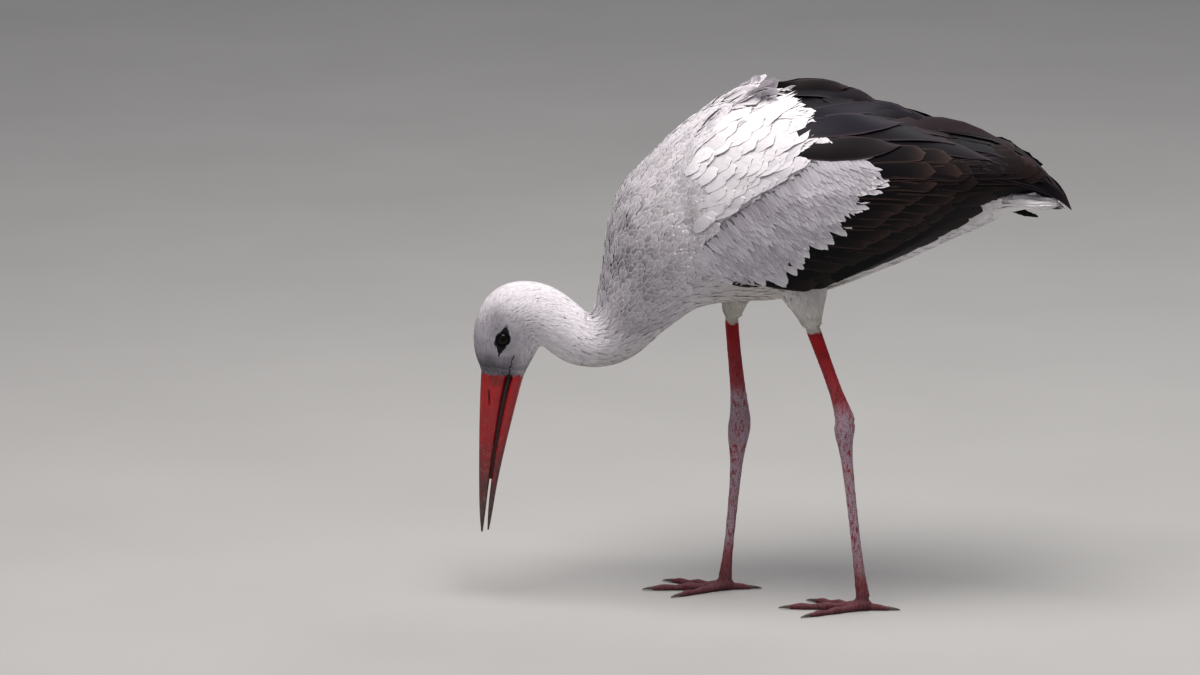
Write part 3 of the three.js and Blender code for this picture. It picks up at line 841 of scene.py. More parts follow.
@dataclass
class Bundle:
    """Vanes that become one mesh: their mid lines, normals, widths, colours and chart places."""

    lines: Array
    ups: Array
    widths: Array
    colours: Array
    charts: Array
    patch: Pair = SMALL_PATCH
    roll: float = 0.0  # how far one edge stands over the other, as a share of the width

    def template(self, form: VaneForm) -> tuple[Array, int]:
        """List the faces of one vane.

        Args:
            form: The shape of the vanes.

        Returns:
            Rows of four vertex numbers, and the number of vertices.
        """
        rows, columns = form.rows, form.columns
        top = np.arange((rows + 1) * columns).reshape(rows + 1, columns)
        under = top.copy()
        under[1:-1, 1:-1] = top.size + np.arange((rows - 1) * (columns - 2)).reshape(rows - 1, columns - 2)
        faces = []
        for i in range(rows):
            for j in range(columns - 1):
                faces.append((top[i, j], top[i + 1, j], top[i + 1, j + 1], top[i, j + 1]))
                faces.append((under[i, j], under[i, j + 1], under[i + 1, j + 1], under[i + 1, j]))
        return np.array(faces), top.size + (rows - 1) * (columns - 2)

    def build(self, name: str, form: VaneForm, rng: np.random.Generator) -> bpy.types.Object:
        """Make the mesh.

        Args:
            name: The new object's name.
            form: The shape of the vanes.
            rng: The source of chance.

        Returns:
            The new object, with its colours and both of its maps.
        """
        count, rows, columns = len(self.lines), form.rows, form.columns
        share = np.sin(np.arange(rows + 1) / rows * np.pi / 2) ** 0.85
        steps = self.lines.shape[1] - 1
        low = np.minimum((share * steps).astype(int), steps - 1)
        part = (share * steps - low)[None, :, None]
        middle = self.lines[:, low] * (1 - part) + self.lines[:, low + 1] * part
        up = unit(self.ups[:, low] * (1 - part) + self.ups[:, low + 1] * part)
        along = unit(np.gradient(middle, axis=1))
        side = unit(np.cross(up, along))
        up = np.cross(along, side)

        across = np.linspace(-1, 1, columns)
        if columns > 5:
            across = np.sign(across) * np.sqrt(np.abs(across))
        half = self.widths[:, None] / 2 * form.outline.half_width(share)[None]
        wave = 1 + form.ragged * rng.uniform(-1, 1, (count, rows + 1, columns))
        reach = across[None, None] * half[..., None] * wave
        height = (-form.sink_mm + (form.sink_mm + form.lift_mm) * share ** 1.3)[None, :, None] * MM
        bend = form.camber * (0.4 - across ** 2) + self.roll * across
        height = height + self.widths[:, None, None] * bend * (share > 0)[None, :, None]
        notch = form.ragged * rng.uniform(-0.6, 0.6, (count, columns))
        lag = ((notch - 0.18 * across[None] ** 2) * self.widths[:, None])[:, None]
        lag = lag * (np.clip(share / 0.3 - 7 / 3, 0, 1) ** 2)[None, :, None]
        spots = (middle[:, :, None] + side[:, :, None] * reach[..., None]
                 + along[:, :, None] * lag[..., None] + up[:, :, None] * height[..., None])
        inner = spots[:, 1:-1, 1:-1] - up[:, 1:-1, None] * form.thickness_mm * MM
        faces, size = self.template(form)
        places = np.concatenate([spots.reshape(count, -1, 3), inner.reshape(count, -1, 3)], axis=1)

        def both_faces(rows: Array) -> Array:
            """Give the under face of each vane what its upper face has, as one row a vertex."""
            parts = [part.reshape(count, -1, rows.shape[-1]) for part in (rows, rows[:, 1:-1, 1:-1])]
            return np.concatenate(parts, axis=1).reshape(-1, rows.shape[-1])

        side_edge = np.clip(np.abs(across) / 0.2 - 4, 0, 1) if columns > 5 else np.abs(across) ** 4
        fringe = np.maximum(side_edge[None], share[:, None] ** 7) * form.edge_share
        shade = (form.root_shade + (1 - form.root_shade) * ease(0.0, 0.75, share))[:, None]
        tone = self.colours[:, None, None] * shade[None, :, :, None] * np.ones((1, 1, columns, 1))
        tone = tone + (tint(form.edge) - tone) * fringe[None, :, :, None]

        length = np.linalg.norm(np.diff(middle, axis=1), axis=2).sum(axis=1)
        start = rng.uniform(0, 40, (count, 1, 1))
        run = start + share[None, :, None] * length[:, None, None] * 100 + lag * 100
        flat = np.stack([reach * 100, run], axis=3)
        spot = np.stack(np.broadcast_arrays(across[None, :] / 2, share[:, None] - 0.5), axis=2) * self.patch
        spot = self.charts[:, None, None] + spot[None]
        quads = (faces[None] + (np.arange(count) * size)[:, None, None]).reshape(-1, 4)
        made = self.mesh(name, places.reshape(-1, 3), quads, both_faces(tone),
                         {"Vane": both_faces(flat), "OFBake": both_faces(spot)})
        # A crisp rim keeps each vane thin to the eye, where a smooth one would look like a pebble.
        rim = np.zeros(size, dtype=bool)
        grid = np.arange((rows + 1) * columns).reshape(rows + 1, columns)
        rim[np.concatenate([grid[0], grid[-1], grid[:, 0], grid[:, -1]])] = True
        rims = np.tile(rim, count)
        made.data.edges.foreach_set("use_edge_sharp", rims[edges_of(made)].all(axis=1))
        return made

    @staticmethod
    def mesh(name: str, places: Array, quads: Array, tones: Array,
             maps: dict[str, Array]) -> bpy.types.Object:
        """Make a smooth mesh object from arrays.

        Args:
            name: The new object's name.
            places: Vertex places.
            quads: Four vertex numbers a face.
            tones: One linear colour a vertex.
            maps: UV maps by name, one row a vertex.

        Returns:
            The new object.
        """
        mesh = bpy.data.meshes.new(name)
        mesh.vertices.add(len(places))
        mesh.vertices.foreach_set("co", places.ravel())
        mesh.loops.add(quads.size)
        mesh.loops.foreach_set("vertex_index", quads.ravel().astype(np.int32))
        mesh.polygons.add(len(quads))
        mesh.polygons.foreach_set("loop_start", np.arange(0, quads.size, 4, dtype=np.int32))
        mesh.update(calc_edges=True)
        for title, rows in maps.items():
            layer = mesh.uv_layers.new(name=title)
            layer.data.foreach_set("uv", rows[quads.ravel()].astype(np.float32).ravel())
        mesh.polygons.foreach_set("use_smooth", np.ones(len(quads), dtype=bool))
        made = new_object(name, mesh)
        colour_points(made, "Coat", tones)
        return made


def chart_places(charts: Array) -> Array:
    """Spread the chart places of one piece over the unit square, with a narrow margin."""
    low, high = charts.min(axis=0), charts.max(axis=0)
    return 0.01 + 0.98 * (charts - low) / np.maximum(high - low, 1e-6)


def grid_places(count: int) -> Array:
    """Lay out chart places on the smallest square grid that holds them."""
    side = math.ceil(math.sqrt(count))
    number = np.arange(count)
    return (np.stack([number % side, number // side], axis=1) + 0.5) / side


def mottle(points: Array, size_mm: float, seed: int) -> Array:
    """Return smooth chance between 0 and 1 at each point.

    Args:
        points: Places in metres.
        size_mm: The width of one blotch.
        seed: Which pattern.

    Returns:
        One value a point.
    """
    lattice = np.random.default_rng(seed).random((16, 16, 16))
    spot = points / (size_mm * MM) + 100
    cell = np.floor(spot).astype(int)
    part = spot - cell
    part = part * part * (3 - 2 * part)
    total = np.zeros(len(points))
    for i in (0, 1):
        for j in (0, 1):
            for k in (0, 1):
                near = np.abs(1 - np.array([i, j, k]) - part).prod(axis=1)
                total += near * lattice[(cell[:, 0] + i) % 16, (cell[:, 1] + j) % 16, (cell[:, 2] + k) % 16]
    return total


def inside(outline: Sequence[Pair], points: Array) -> Array:
    """Tell which points lie inside an outline in the side view.

    Args:
        outline: Corners as x and z, in millimetres.
        points: Places in metres.

    Returns:
        One truth value a point.
    """
    x, z = points[:, 0] / MM, points[:, 2] / MM
    held = np.zeros(len(points), dtype=bool)
    for (x0, z0), (x1, z1) in zip(outline, tuple(outline[1:]) + (outline[0],)):
        crosses = (z0 > z) != (z1 > z)
        held ^= crosses & (x < x0 + (z - z0) * (x1 - x0) / ((z1 - z0) or 1e-9))
    return held


def moved(places: Array, *way_mm: float) -> Array:
    """Return the places moved by a way in millimetres."""
    return places + np.array(way_mm) * MM


def along_line(corners: Sequence[Pair], shares: Array) -> Array:
    """Find places along a bent line.

    Args:
        corners: The line's corners, in millimetres.
        shares: Shares of its length.

    Returns:
        One place a share, in metres.
    """
    line = np.array(corners, dtype=float) * MM
    if len(line) == 1:
        return np.repeat(line, len(shares), axis=0)
    run = np.concatenate([[0], np.cumsum(np.linalg.norm(np.diff(line, axis=0), axis=1))])
    return np.stack([np.interp(shares * run[-1], run, line[:, k]) for k in range(line.shape[1])], axis=1)


# ------------------------------------------------------------------ skin

@dataclass
class Skin:
    """One skin over head, neck, trunk, wings' flesh and legs, under the plumage by the depth of the coat."""

    bird: Bird
    voxel_mm: float = 2.0
    lid_mm: float = 5.7  # half width of the opening between the lids
    depths_mm: dict[str, float] = field(default_factory=lambda: {
        "head": 0.9, "neck_upper": 1.3, "neck_lower": 1.8, "trunk": 2.4, "thigh_left": 1.8,
        "thigh_right": 1.8, "wing_left_coverts": 2.6, "wing_right_coverts": 2.6, "shank_left": 0.0,
        "shank_right": 0.0, "tarsus_left": 0.0, "tarsus_right": 0.0, "foot_left": 0.0, "foot_right": 0.0})

    def build(self) -> bpy.types.Object:
        """Model, sculpt, colour and hand over the skin."""
        piece = copy_of("skin", [self.bird.nodes[name] for name in self.depths_mm])
        modify(piece, "REMESH", mode="VOXEL", voxel_size=self.voxel_mm * MM)
        edges = edges_of(piece)
        places = points_of(piece)
        soft = blur(places, edges, 3)
        soft = soft + (soft - blur(soft, edges, 2)) * 0.9
        put_points(piece, soft)
        put_points(piece, soft - normals_of(piece) * self.depth(piece, soft)[:, None])
        self.thin_out(piece)
        self.refine(piece, 16.0)
        self.refine(piece, 10.5)
        self.sculpt(piece)
        modify(piece, "TRIANGULATE")
        places = points_of(piece)
        colour_points(piece, "Flesh", self.colours(places))
        legs = (places[:, 0] > BREAST_X) * (1 - ease(300 * MM, 306 * MM, places[:, 2]))
        for name, values in (("Crust", self.crust(places)), ("Scaly", legs)):
            layer = piece.data.attributes.new(name, "FLOAT", "POINT")
            layer.data.foreach_set("value", values.astype(np.float32))
        shade_smooth(piece, 180)
        return finish_piece(piece, SKIN, "leg_skin", *self.depths_mm)

    def depth(self, piece: bpy.types.Object, places: Array) -> Array:
        """Return how far each vertex goes in from the solids, never half way through a thin part."""
        nodes = [self.bird.nodes[name] for name in self.depths_mm]
        depth = nearest_value(nodes, tuple(self.depths_mm.values()), places)
        depth = blur(depth, edges_of(piece), 14) * MM
        bare = ease(7 * MM, 20 * MM, self.from_eye(places)) * ease(1 * MM, 12 * MM, self.from_bill(places))
        depth = np.where(depth > 0, depth * (0.12 + 0.88 * bare), 0)
        wall = blur(wall_behind(piece, places, 0.3), edges_of(piece), 3)
        return np.minimum(depth, wall * 0.4)

    @staticmethod
    def from_eye(places: Array) -> Array:
        """Return the distance from the middle of the nearer eyeball."""
        folded = places * [1, 0, 1] + np.abs(places) * [0, 1, 0]
        return np.linalg.norm(folded - np.array(EYE_MM) * MM, axis=1)

    @staticmethod
    def from_bill(places: Array) -> Array:
        """Return the height over the bill's root, which slopes down from brow to chin."""
        return places[:, 2] - (261.5 - (places[:, 0] / MM + 322) * 0.095) * MM

    def thin_out(self, piece: bpy.types.Object) -> None:
        """Use fewer faces where feathers hide the skin."""
        places = points_of(piece)
        hidden = (places[:, 2] > 320 * MM) | ((places[:, 0] < BREAST_X) & (self.from_eye(places) > 24 * MM)
                                              & (self.from_bill(places) > 6 * MM))
        group = piece.vertex_groups.new(name="under_feathers")
        group.add(np.flatnonzero(hidden).tolist(), 1.0, "REPLACE")
        modify(piece, "DECIMATE", ratio=0.55, vertex_group=group.name, vertex_group_factor=1.0)
        piece.vertex_groups.clear()

    def refine(self, piece: bpy.types.Object, reach_mm: float) -> None:
        """Cut each edge near the eyes in two."""
        with editing(piece) as work:
            places = np.array([tuple((edge.verts[0].co + edge.verts[1].co) / 2) for edge in work.edges])
            near = self.from_eye(places) < reach_mm * MM
            chosen = [edge for edge, cut in zip(work.edges, near.tolist()) if cut]
            bmesh.ops.subdivide_edges(work, edges=chosen, cuts=1, use_grid_fill=True, smooth=0.0)
            bmesh.ops.triangulate(work, faces=[face for face in work.faces if len(face.verts) > 4])

    def sculpt(self, piece: bpy.types.Object) -> None:
        """Raise the lids round each eyeball, sink the socket, and cut the gape's crease."""
        places = points_of(piece)
        x, z = places[:, 0] / MM - EYE_MM[0], places[:, 2] / MM - EYE_MM[2]
        # The opening is a little longer towards the brow and the bill than across.
        ring = np.hypot(x * 1.08 + z * 0.06, z * 0.94)
        side = np.sign(places[:, 1])
        flank = np.abs(places[:, 1]) / MM
        near = (ring < 16) & (flank > 10)
        ball = EYE_MM[1] + np.sqrt(np.maximum(BALL_MM ** 2 - ring ** 2, 0))
        lid = 0.75 * np.exp(-((ring - self.lid_mm - 0.9) / 1.1) ** 2)
        outer = 0.35 * np.exp(-((ring - self.lid_mm - 3.6) / 1.5) ** 2)
        crease = -0.45 * np.exp(-((ring - self.lid_mm - 2.3) / 0.7) ** 2)
        raised = np.maximum(flank, (ball + 0.15) * (ring < 8.6)) + lid + outer + crease
        sunk = np.minimum(flank, ball - 1.3)
        inner = ease(self.lid_mm - 0.5, self.lid_mm + 0.35, ring)
        fresh = np.where(near, raised * inner + sunk * (1 - inner), flank)
        # The crease of the gape runs up from the corner of the bill.
        cut = np.exp(-gape_gap(places) ** 2) * (flank > 9)
        fresh = fresh - 1.5 * cut * (places[:, 2] / MM < 284)
        places[:, 1] = side * fresh * MM
        put_points(piece, places)

    def colours(self, places: Array) -> Array:
        """Paint the skin with the coat's markings, darkened as painted shade under the feathers, and the legs
        red.

        Args:
            places: The skin's vertex places.

        Returns:
            One linear colour a place.
        """
        x, z, flank = places[:, 0] / MM, places[:, 2] / MM, np.abs(places[:, 1]) / MM
        mark = np.hypot((x + 289.5) / 1.6, (z - 273) / 2.6)
        # The feathered skin is a fifth darker than the coat: painted shade under the feathers.
        tone = glaze(body_colours(places) * 0.8, (
            ("#46414c", (1 - ease(3, 9, self.from_bill(places) / MM)) * 0.8),
            ("#0d0a10", bare_patch(places)),
            ("#1c0a0e", np.exp(-(gape_gap(places) / 1.2) ** 2) * (flank > 8)),
            ("#5a0c12", np.exp(-mark ** 2) * (flank > 8))))
        streaks = ease(0.45, 0.8, mottle(places * np.array([1, 1, 0.4]), 5, 8))
        legs = glaze(plain("#930f15", len(places)), (
            ("#4a1216", streaks * ease(225, 250, z) * 0.5),
            ("#7c4650", np.exp(-((z - 200) / 24) ** 2) * 0.75),
            ("#6a2a31", (1 - ease(120, 190, z)) * (0.35 + 0.4 * mottle(places, 14, 5))),
            ("#4a1a1e", (1 - ease(10, 60, z)) * 0.8)))
        rim = 312 + 8 * (mottle(places, 9, 6) - 0.5)
        down = np.where(x < 0, 306, 312)
        return mix(legs, tone, np.maximum(ease(-1, 1, z - down - (rim - 312)), places[:, 0] < BREAST_X))

    @staticmethod
    def crust(places: Array) -> Array:
        """Return how white the droppings make the legs, most of all below the ankles."""
        z = places[:, 2] / MM
        shank = 0.14 * (1 - ease(240, 300, z))
        low = (1 - ease(216, 240, z)) * ease(25, 80, z)
        amount = np.clip(shank + low * (0.55 + 0.8 * mottle(places, 22, 7)), 0, 1)
        return amount * (z < 300) * (places[:, 0] > BREAST_X)


def gape_gap(places: Array) -> Array:
    """Return the distance in millimetres from the crease that runs up from the corner of the bill."""
    x, z = places[:, 0] / MM, places[:, 2] / MM
    return np.abs(x + 291.0 - (z - 260) * 0.28) + np.maximum(z - 280, 0)


def bare_patch(places: Array) -> Array:
    """Tell where the skin is bare and black, round the eyes and in front of them.

    Args:
        places: Places on the head.

    Returns:
        1 on the bare skin and 0 off it, with a soft edge between.
    """
    x, z = places[:, 0] / MM, places[:, 2] / MM
    # A lens round the eye runs to a point at the brow, and a streak goes down to the bill.
    broad = 8.4 * (1 - 0.034 * np.clip(z - 300, 0, 18))
    lens = np.hypot((x + 297.6 - (z - 300) * 0.26) / broad, (z - 299) / 16.5)
    narrow = 3.6 + 0.12 * np.clip(z - 280, 0, 14)
    streak = np.hypot((x + 301.5 + (z - 284) * 0.06) / narrow, (z - 285) / 13.5)
    lids = np.hypot(x - EYE_MM[0], z - EYE_MM[2]) / 8.6
    shape = np.minimum(np.minimum(lens, streak), lids) + 0.1 * (mottle(places, 4, 11) - 0.5)
    return (1 - ease(0.9, 1.08, shape)) * (np.abs(places[:, 1]) > 8 * MM)


def body_colours(places: Array) -> Array:
    """Return the white plumage's colour: dust on the breast, painted shade on breast, neck, face and belly.

    Args:
        places: Where the feathers are rooted.

    Returns:
        One linear colour a place.
    """
    x, z = places[:, 0] / MM, places[:, 2] / MM
    broad, fine = mottle(places, 34, 1), mottle(places, 12, 2)
    # Dust and wear, with painted shade, grey the breast, most of all along its front, feather by feather.
    front = np.interp(z, (300, 345, 388, 425, 463, 499, 538, 575),
                      (-198, -195, -188, -183, -172, -141, -100, -50))
    breast = np.exp(-(np.maximum(x - front - 8, 0) / 52) ** 2) * ease(305, 350, z)
    breast = breast * (1 - ease(430, 520, z) * 0.75) * (x > -215)
    spots = ease(0.45, 0.6, mottle(places, 9, 3))
    # Painted shade in the fold where the neck meets the breast.
    fold_shade = np.exp(-(((x + 168) / 30) ** 2 + ((z - 312) / 26) ** 2)) * ease(-206, -186, x)
    # Painted shade greys the face below the crown.
    face = (1 - ease(285, 345, z)) * (1 - ease(-292, -262, x))
    border = (1 - ease(2, 22, Skin.from_bill(places) / MM + 12 * (fine - 0.5))) * (x < -262)
    # Painted shadow over the eye, up the brow.
    brow = np.exp(-(((x + 306) / 10) ** 2 + ((z - 318) / 15) ** 2))
    # Painted shade under the lower neck.
    throat_shade = (1 - ease(262, 290, z)) * ease(-262, -238, x) * (x < -150)
    # A cream tint, darkened as painted shade on the low belly.
    belly = (1 - ease(330, 400, z)) * ease(-120, -40, x)
    tone = glaze(plain("#e8e4ea", len(places)), (
        # Lilac grey over the neck and breast, partly dust and partly painted shade.
        ("#a39cab", ease(-230, -190, x) * (1 - ease(-60, 20, x)) * (z > 300) * 0.4),
        ("#7b7382", breast * (0.15 + 0.6 * broad)),
        ("#4f4759", breast * spots * (0.35 + 0.6 * broad)),
        ("#6f6774", fold_shade * (0.4 + 0.7 * fine) * 0.7),
        ("#98939f", face * (0.6 + 0.35 * fine)),
        ("#4a4651", border * (1 - 0.5 * ease(-292, -276, x)) * 0.95),
        ("#7d7886", brow * 0.6),
        ("#9d9894", throat_shade * 0.75),
        ("#b9b5a6", belly * 0.8),
        ("#b9b3b8", ease(0.5, 0.85, broad) * ease(-210, -170, x) * 0.4)))
    return tone * (0.94 + 0.1 * fine[:, None])


# ------------------------------------------------------------------ plumage

@dataclass(frozen=True)
class Tract:
    """A field of like feathers: where they grow, how big they are and how they are shaped."""

    name: str
    nodes: tuple[str, ...]
    spacing_mm: float
    length_mm: float
    width_mm: float
    form: VaneForm
    steps: int = 3
    spread: float = 0.1  # chance turn to either side of the lie, in radians
    grows: Callable[[Array], Array] | None = None  # marks which places may have roots
    scale: Callable[[Array], Array] | None = None  # feather size at a place, as a share
    lie: Callable[[Array, Array], Array] | None = None  # direction, from the places and the usual ones
    colour: Callable[[Array], Array] = body_colours
    black: bool = False
    held: bool = False  # feathers whose tips would stand off the form aren't grown


def steady(*way: float) -> Callable[[Array, Array], Array]:
    """Return a lie that has one direction everywhere."""
    return lambda places, ways: np.array(way) * np.ones((len(places), 1))


@dataclass
class Plumage:
    """Everything that grows the tracts on the outer form."""

    bird: Bird
    seed: int = 20
    size_range: Pair = (0.88, 1.12)
    width_range: Pair = (0.9, 1.1)
    tone_spread: float = 0.06
    hold_mm: float = 2.5  # how far the tip of a held feather may stand off the form

    def grow(self, tract: Tract) -> bpy.types.Object:
        """Grow one tract and hand it over.

        Args:
            tract: The field of feathers.

        Returns:
            The finished piece.
        """
        rng = np.random.default_rng(self.seed + sum(map(ord, tract.name)))
        form = self.bird.form
        wanted = self.bird.faces_of(*tract.nodes)
        if tract.grows:
            wanted = wanted & tract.grows(form.centres)
        roots, normals = form.scatter(tract.spacing_mm * MM, rng, wanted)
        ways = self.bird.spine.lie(roots)
        if tract.lie:
            ways = tract.lie(roots, ways)
        ways = unit(ways - dot(ways, normals) * normals)
        turn = rng.normal(0, tract.spread, (len(roots), 1))
        ways = ways * np.cos(turn) + np.cross(normals, ways) * np.sin(turn)
        size = tract.scale(roots) if tract.scale else np.ones(len(roots))
        size = size * rng.uniform(*self.size_range, len(roots))
        lines, ups = form.march(roots, ways, tract.length_mm * MM * size, tract.steps)
        if tract.held:
            # A feather that would stand off past a ridge or a rim isn't grown.
            held = form.cling(lines[:, -1])[0]
            close = np.linalg.norm(held - lines[:, -1], axis=1) < self.hold_mm * MM
            roots, lines, ups, size = roots[close], lines[close], ups[close], size[close]
        colours = np.clip(tract.colour(roots) * rng.normal(1, self.tone_spread, (len(roots), 1)), 0, 1)
        charts = chart_places(self.bird.spine.chart(roots))
        widths = tract.width_mm * MM * size * rng.uniform(*self.width_range, len(roots))
        piece = Bundle(lines, ups, widths, colours, charts).build(tract.name, tract.form, rng)
        return finish_piece(piece, *(BLACK if tract.black else WHITE))

    def head_and_neck(self) -> list[Tract]:
        """List the silky tracts of the head and neck."""
        def near(places: Array) -> Array:
            """Return the distance in millimetres from the nearer eyeball or the bill, below zero inside."""
            return np.minimum(Skin.from_eye(places) - BALL_MM * MM, Skin.from_bill(places)) / MM

        def open_skin(places: Array) -> Array:
            """Tell where the face may be feathered: off the bare patch, the lids, the gape and the bill.

            Args:
                places: Where a feather would be rooted.

            Returns:
                One truth value a place.
            """
            bare = np.minimum(bare_patch(places), bare_patch(moved(places, -1.3, 0, -1.3)))
            clear = (near(places) > -2.6) & (gape_gap(places) > 1.5)
            return (bare < 0.5) & clear & (Skin.from_bill(places) > -0.6 * MM)

        face = VaneForm(Outline.SILK, 3, 3, 0.12, 0.04, 0.3, 0.1, 0.0, 0.92, edge_share=0.1)
        silk = VaneForm(Outline.SILK, 3, 3, 0.15, 0.04, 0.55, 0.12, 0.0, 0.9, edge_share=0.15)
        neck = VaneForm(Outline.LANCE, 3, 3, 0.2, 0.04, 0.9, 0.3, 0.1, 0.84, edge_share=0.25)
        border = VaneForm(Outline.LANCE, 3, 3, 0.12, 0.03, 0.1, 0.35, 0.0, 0.9, edge_share=0.1)
        return [
            Tract("coat_lores", ("head",), 0.85, 4.4, 1.1, border, 3, 0.22,
                  lambda p: open_skin(p) & (Skin.from_bill(p) < 7 * MM), None, steady(0.05, 0, -1.0)),
            Tract("coat_face", ("head",), 0.98, 4.6, 1.25, face, 2, 0.16,
                  lambda p: open_skin(p) & (near(p) < 13), lambda p: 0.75 + 0.4 * ease(0, 13, near(p))),
            Tract("coat_head", ("head",), 1.5, 9.0, 2.1, silk, 3, 0.16,
                  lambda p: open_skin(p) & (near(p) >= 11), lambda p: 0.75 + 0.4 * ease(11, 40, near(p))),
            Tract("coat_neck_upper", ("neck_upper",), 2.05, 13, 3.4, silk, 3, 0.14),
            Tract("coat_neck_lower", ("neck_lower",), 2.9, 19, 5.8, neck, 3, 0.16),
        ]

    def trunk(self) -> list[Tract]:
        """List the rounded contour feathers of the trunk and the soft ones of belly and thighs."""
        scales = VaneForm(Outline.ROUND, 5, 6, 0.14, 0.015, 1.1, 0.25, 0.12, 0.86, edge_share=0.6)
        soft = VaneForm(Outline.LANCE, 5, 4, 0.25, 0.04, 1.4, 0.5, 0.16, 0.84, edge_share=0.3)
        cuff = VaneForm(Outline.LANCE, 3, 3, 0.15, 0.03, 0.1, 0.9, 0.1, 0.88, edge_share=0.2)
        short = VaneForm(Outline.LANCE, 3, 3, 0.22, 0.04, 1.0, 0.4, 0.14, 0.84, edge_share=0.3)
        under = VaneForm(Outline.ROUND, 5, 6, 0.15, 0.01, 1.8, 0.1, 0.1, 0.86, edge_share=0.5)

        def over(places: Array) -> Array:
            """Tell which places lie over the line where the belly's soft feathers begin."""
            line = np.interp(places[:, 0] / MM, (-200, -140, -90, 0, 220), (275, 325, 372, 420, 470))
            return places[:, 2] > line * MM

        def hem(places: Array) -> Array:
            """Tell which places lie low enough to show under the folded wing."""
            line = np.array(WING_BOTTOM)
            return places[:, 2] / MM < np.interp(places[:, 0] / MM, line[:, 0], line[:, 1]) + 14

        def thigh_lie(places: Array, ways: Array) -> Array:
            """Turn the lie of the feathers down along the thigh."""
            return ways * 0.35 + np.array([0, 0, -1.0])

        coverts = ("wing_left_coverts", "wing_right_coverts")
        back = ("trunk",) + coverts + ("wing_left_secondaries", "wing_right_secondaries")
        thighs = ("thigh_left", "thigh_right")
        return [
            Tract("coat_breast", ("trunk",) + coverts, 4.9, 23, 12.5, scales, 4, 0.16,
                  lambda p: over(p) & ~on_wing(p), lambda p: 0.62 + 0.55 * ease(-195, -60, p[:, 0] / MM)),
            Tract("coat_back", back, 7.5, 32, 17.0, under, 5, 0.1,
                  lambda p: inside(SCAPULAR_FIELD, p) & inside(SCAPULAR_FIELD, moved(p, 22, 0, 4))),
            Tract("coat_belly", ("trunk",), 5.8, 32, 12.5, soft, 4, 0.14,
                  lambda p: ~over(p) & (~on_wing(p) | hem(p)),
                  lambda p: 0.6 + 0.4 * ease(-180, -100, p[:, 0] / MM)),
            Tract("coat_thighs", thighs, 3.3, 17, 6.4, short, 3, 0.14,
                  lambda p: p[:, 2] > 315 * MM, lambda p: 0.5 + 0.5 * ease(314, 345, p[:, 2] / MM),
                  thigh_lie),
            Tract("coat_cuffs", thighs, 2.3, 11, 3.4, cuff, 3, 0.18,
                  lambda p: p[:, 2] < 332 * MM, None, thigh_lie, held=True),
        ]


# Outlines in the side view of the folded wing, as x and z in millimetres.
LOWER_TIPS = ((-72, 377), (-28, 370), (8, 368), (34, 402), (52, 413), (72, 428), (87, 447), (97, 466),
              (125, 480), (113, 499))
UPPER_ROOTS = ((-104, 402), (-83, 420), (-56, 447), (-30, 468), (-10, 481), (8, 491), (24, 501), (38, 508),
               (52, 511), (54, 508))
GROOVE = ((-104, 400), (-83, 418), (-67, 436), (-45, 457), (-15, 478), (16, 496), (39, 513), (62, 520))
SCAPULAR_TIPS = ((20, 512), (33, 527), (40, 540), (40, 553), (30, 566), (6, 578))
COVERT_FIELD = LOWER_TIPS + ((90, 515),) + tuple(reversed(GROOVE))
SCAPULAR_FIELD = GROOVE[1:-1] + SCAPULAR_TIPS + ((-10, 600), (-60, 600), (-85, 500))
WING_BOTTOM = ((8, 364), (50, 362), (93, 369), (137, 385), (180, 406), (224, 430), (247, 445), (400, 440))
QUILL_FIELD = ((-72, 372),) + LOWER_TIPS + ((62, 520), (34, 530), (40, 553), (6, 590), (120, 640),
                                            (400, 640)) + tuple(reversed(WING_BOTTOM))


def on_wing(places: Array) -> Array:
    """Tell which places have wing feathers laid out row by row."""
    return inside(COVERT_FIELD, places) | inside(SCAPULAR_FIELD, places) | inside(QUILL_FIELD, places)


@dataclass(frozen=True)
class Row:
    """A row of like feathers laid out in the side view, from one line of roots to one line of tips.

    Sizes are in millimetres, and a bow above zero bends the middle of each feather upwards.
    """

    roots: tuple[Pair, ...]
    tips: tuple[Pair, ...]
    count: int
    width: float
    colour: str
    bow: float = 0.0
    over: float = 0.0  # extra height over the outer form
    jitter: float = 1.0
    via: Pair | None = None  # the mid line bends towards this place, in place of the bow


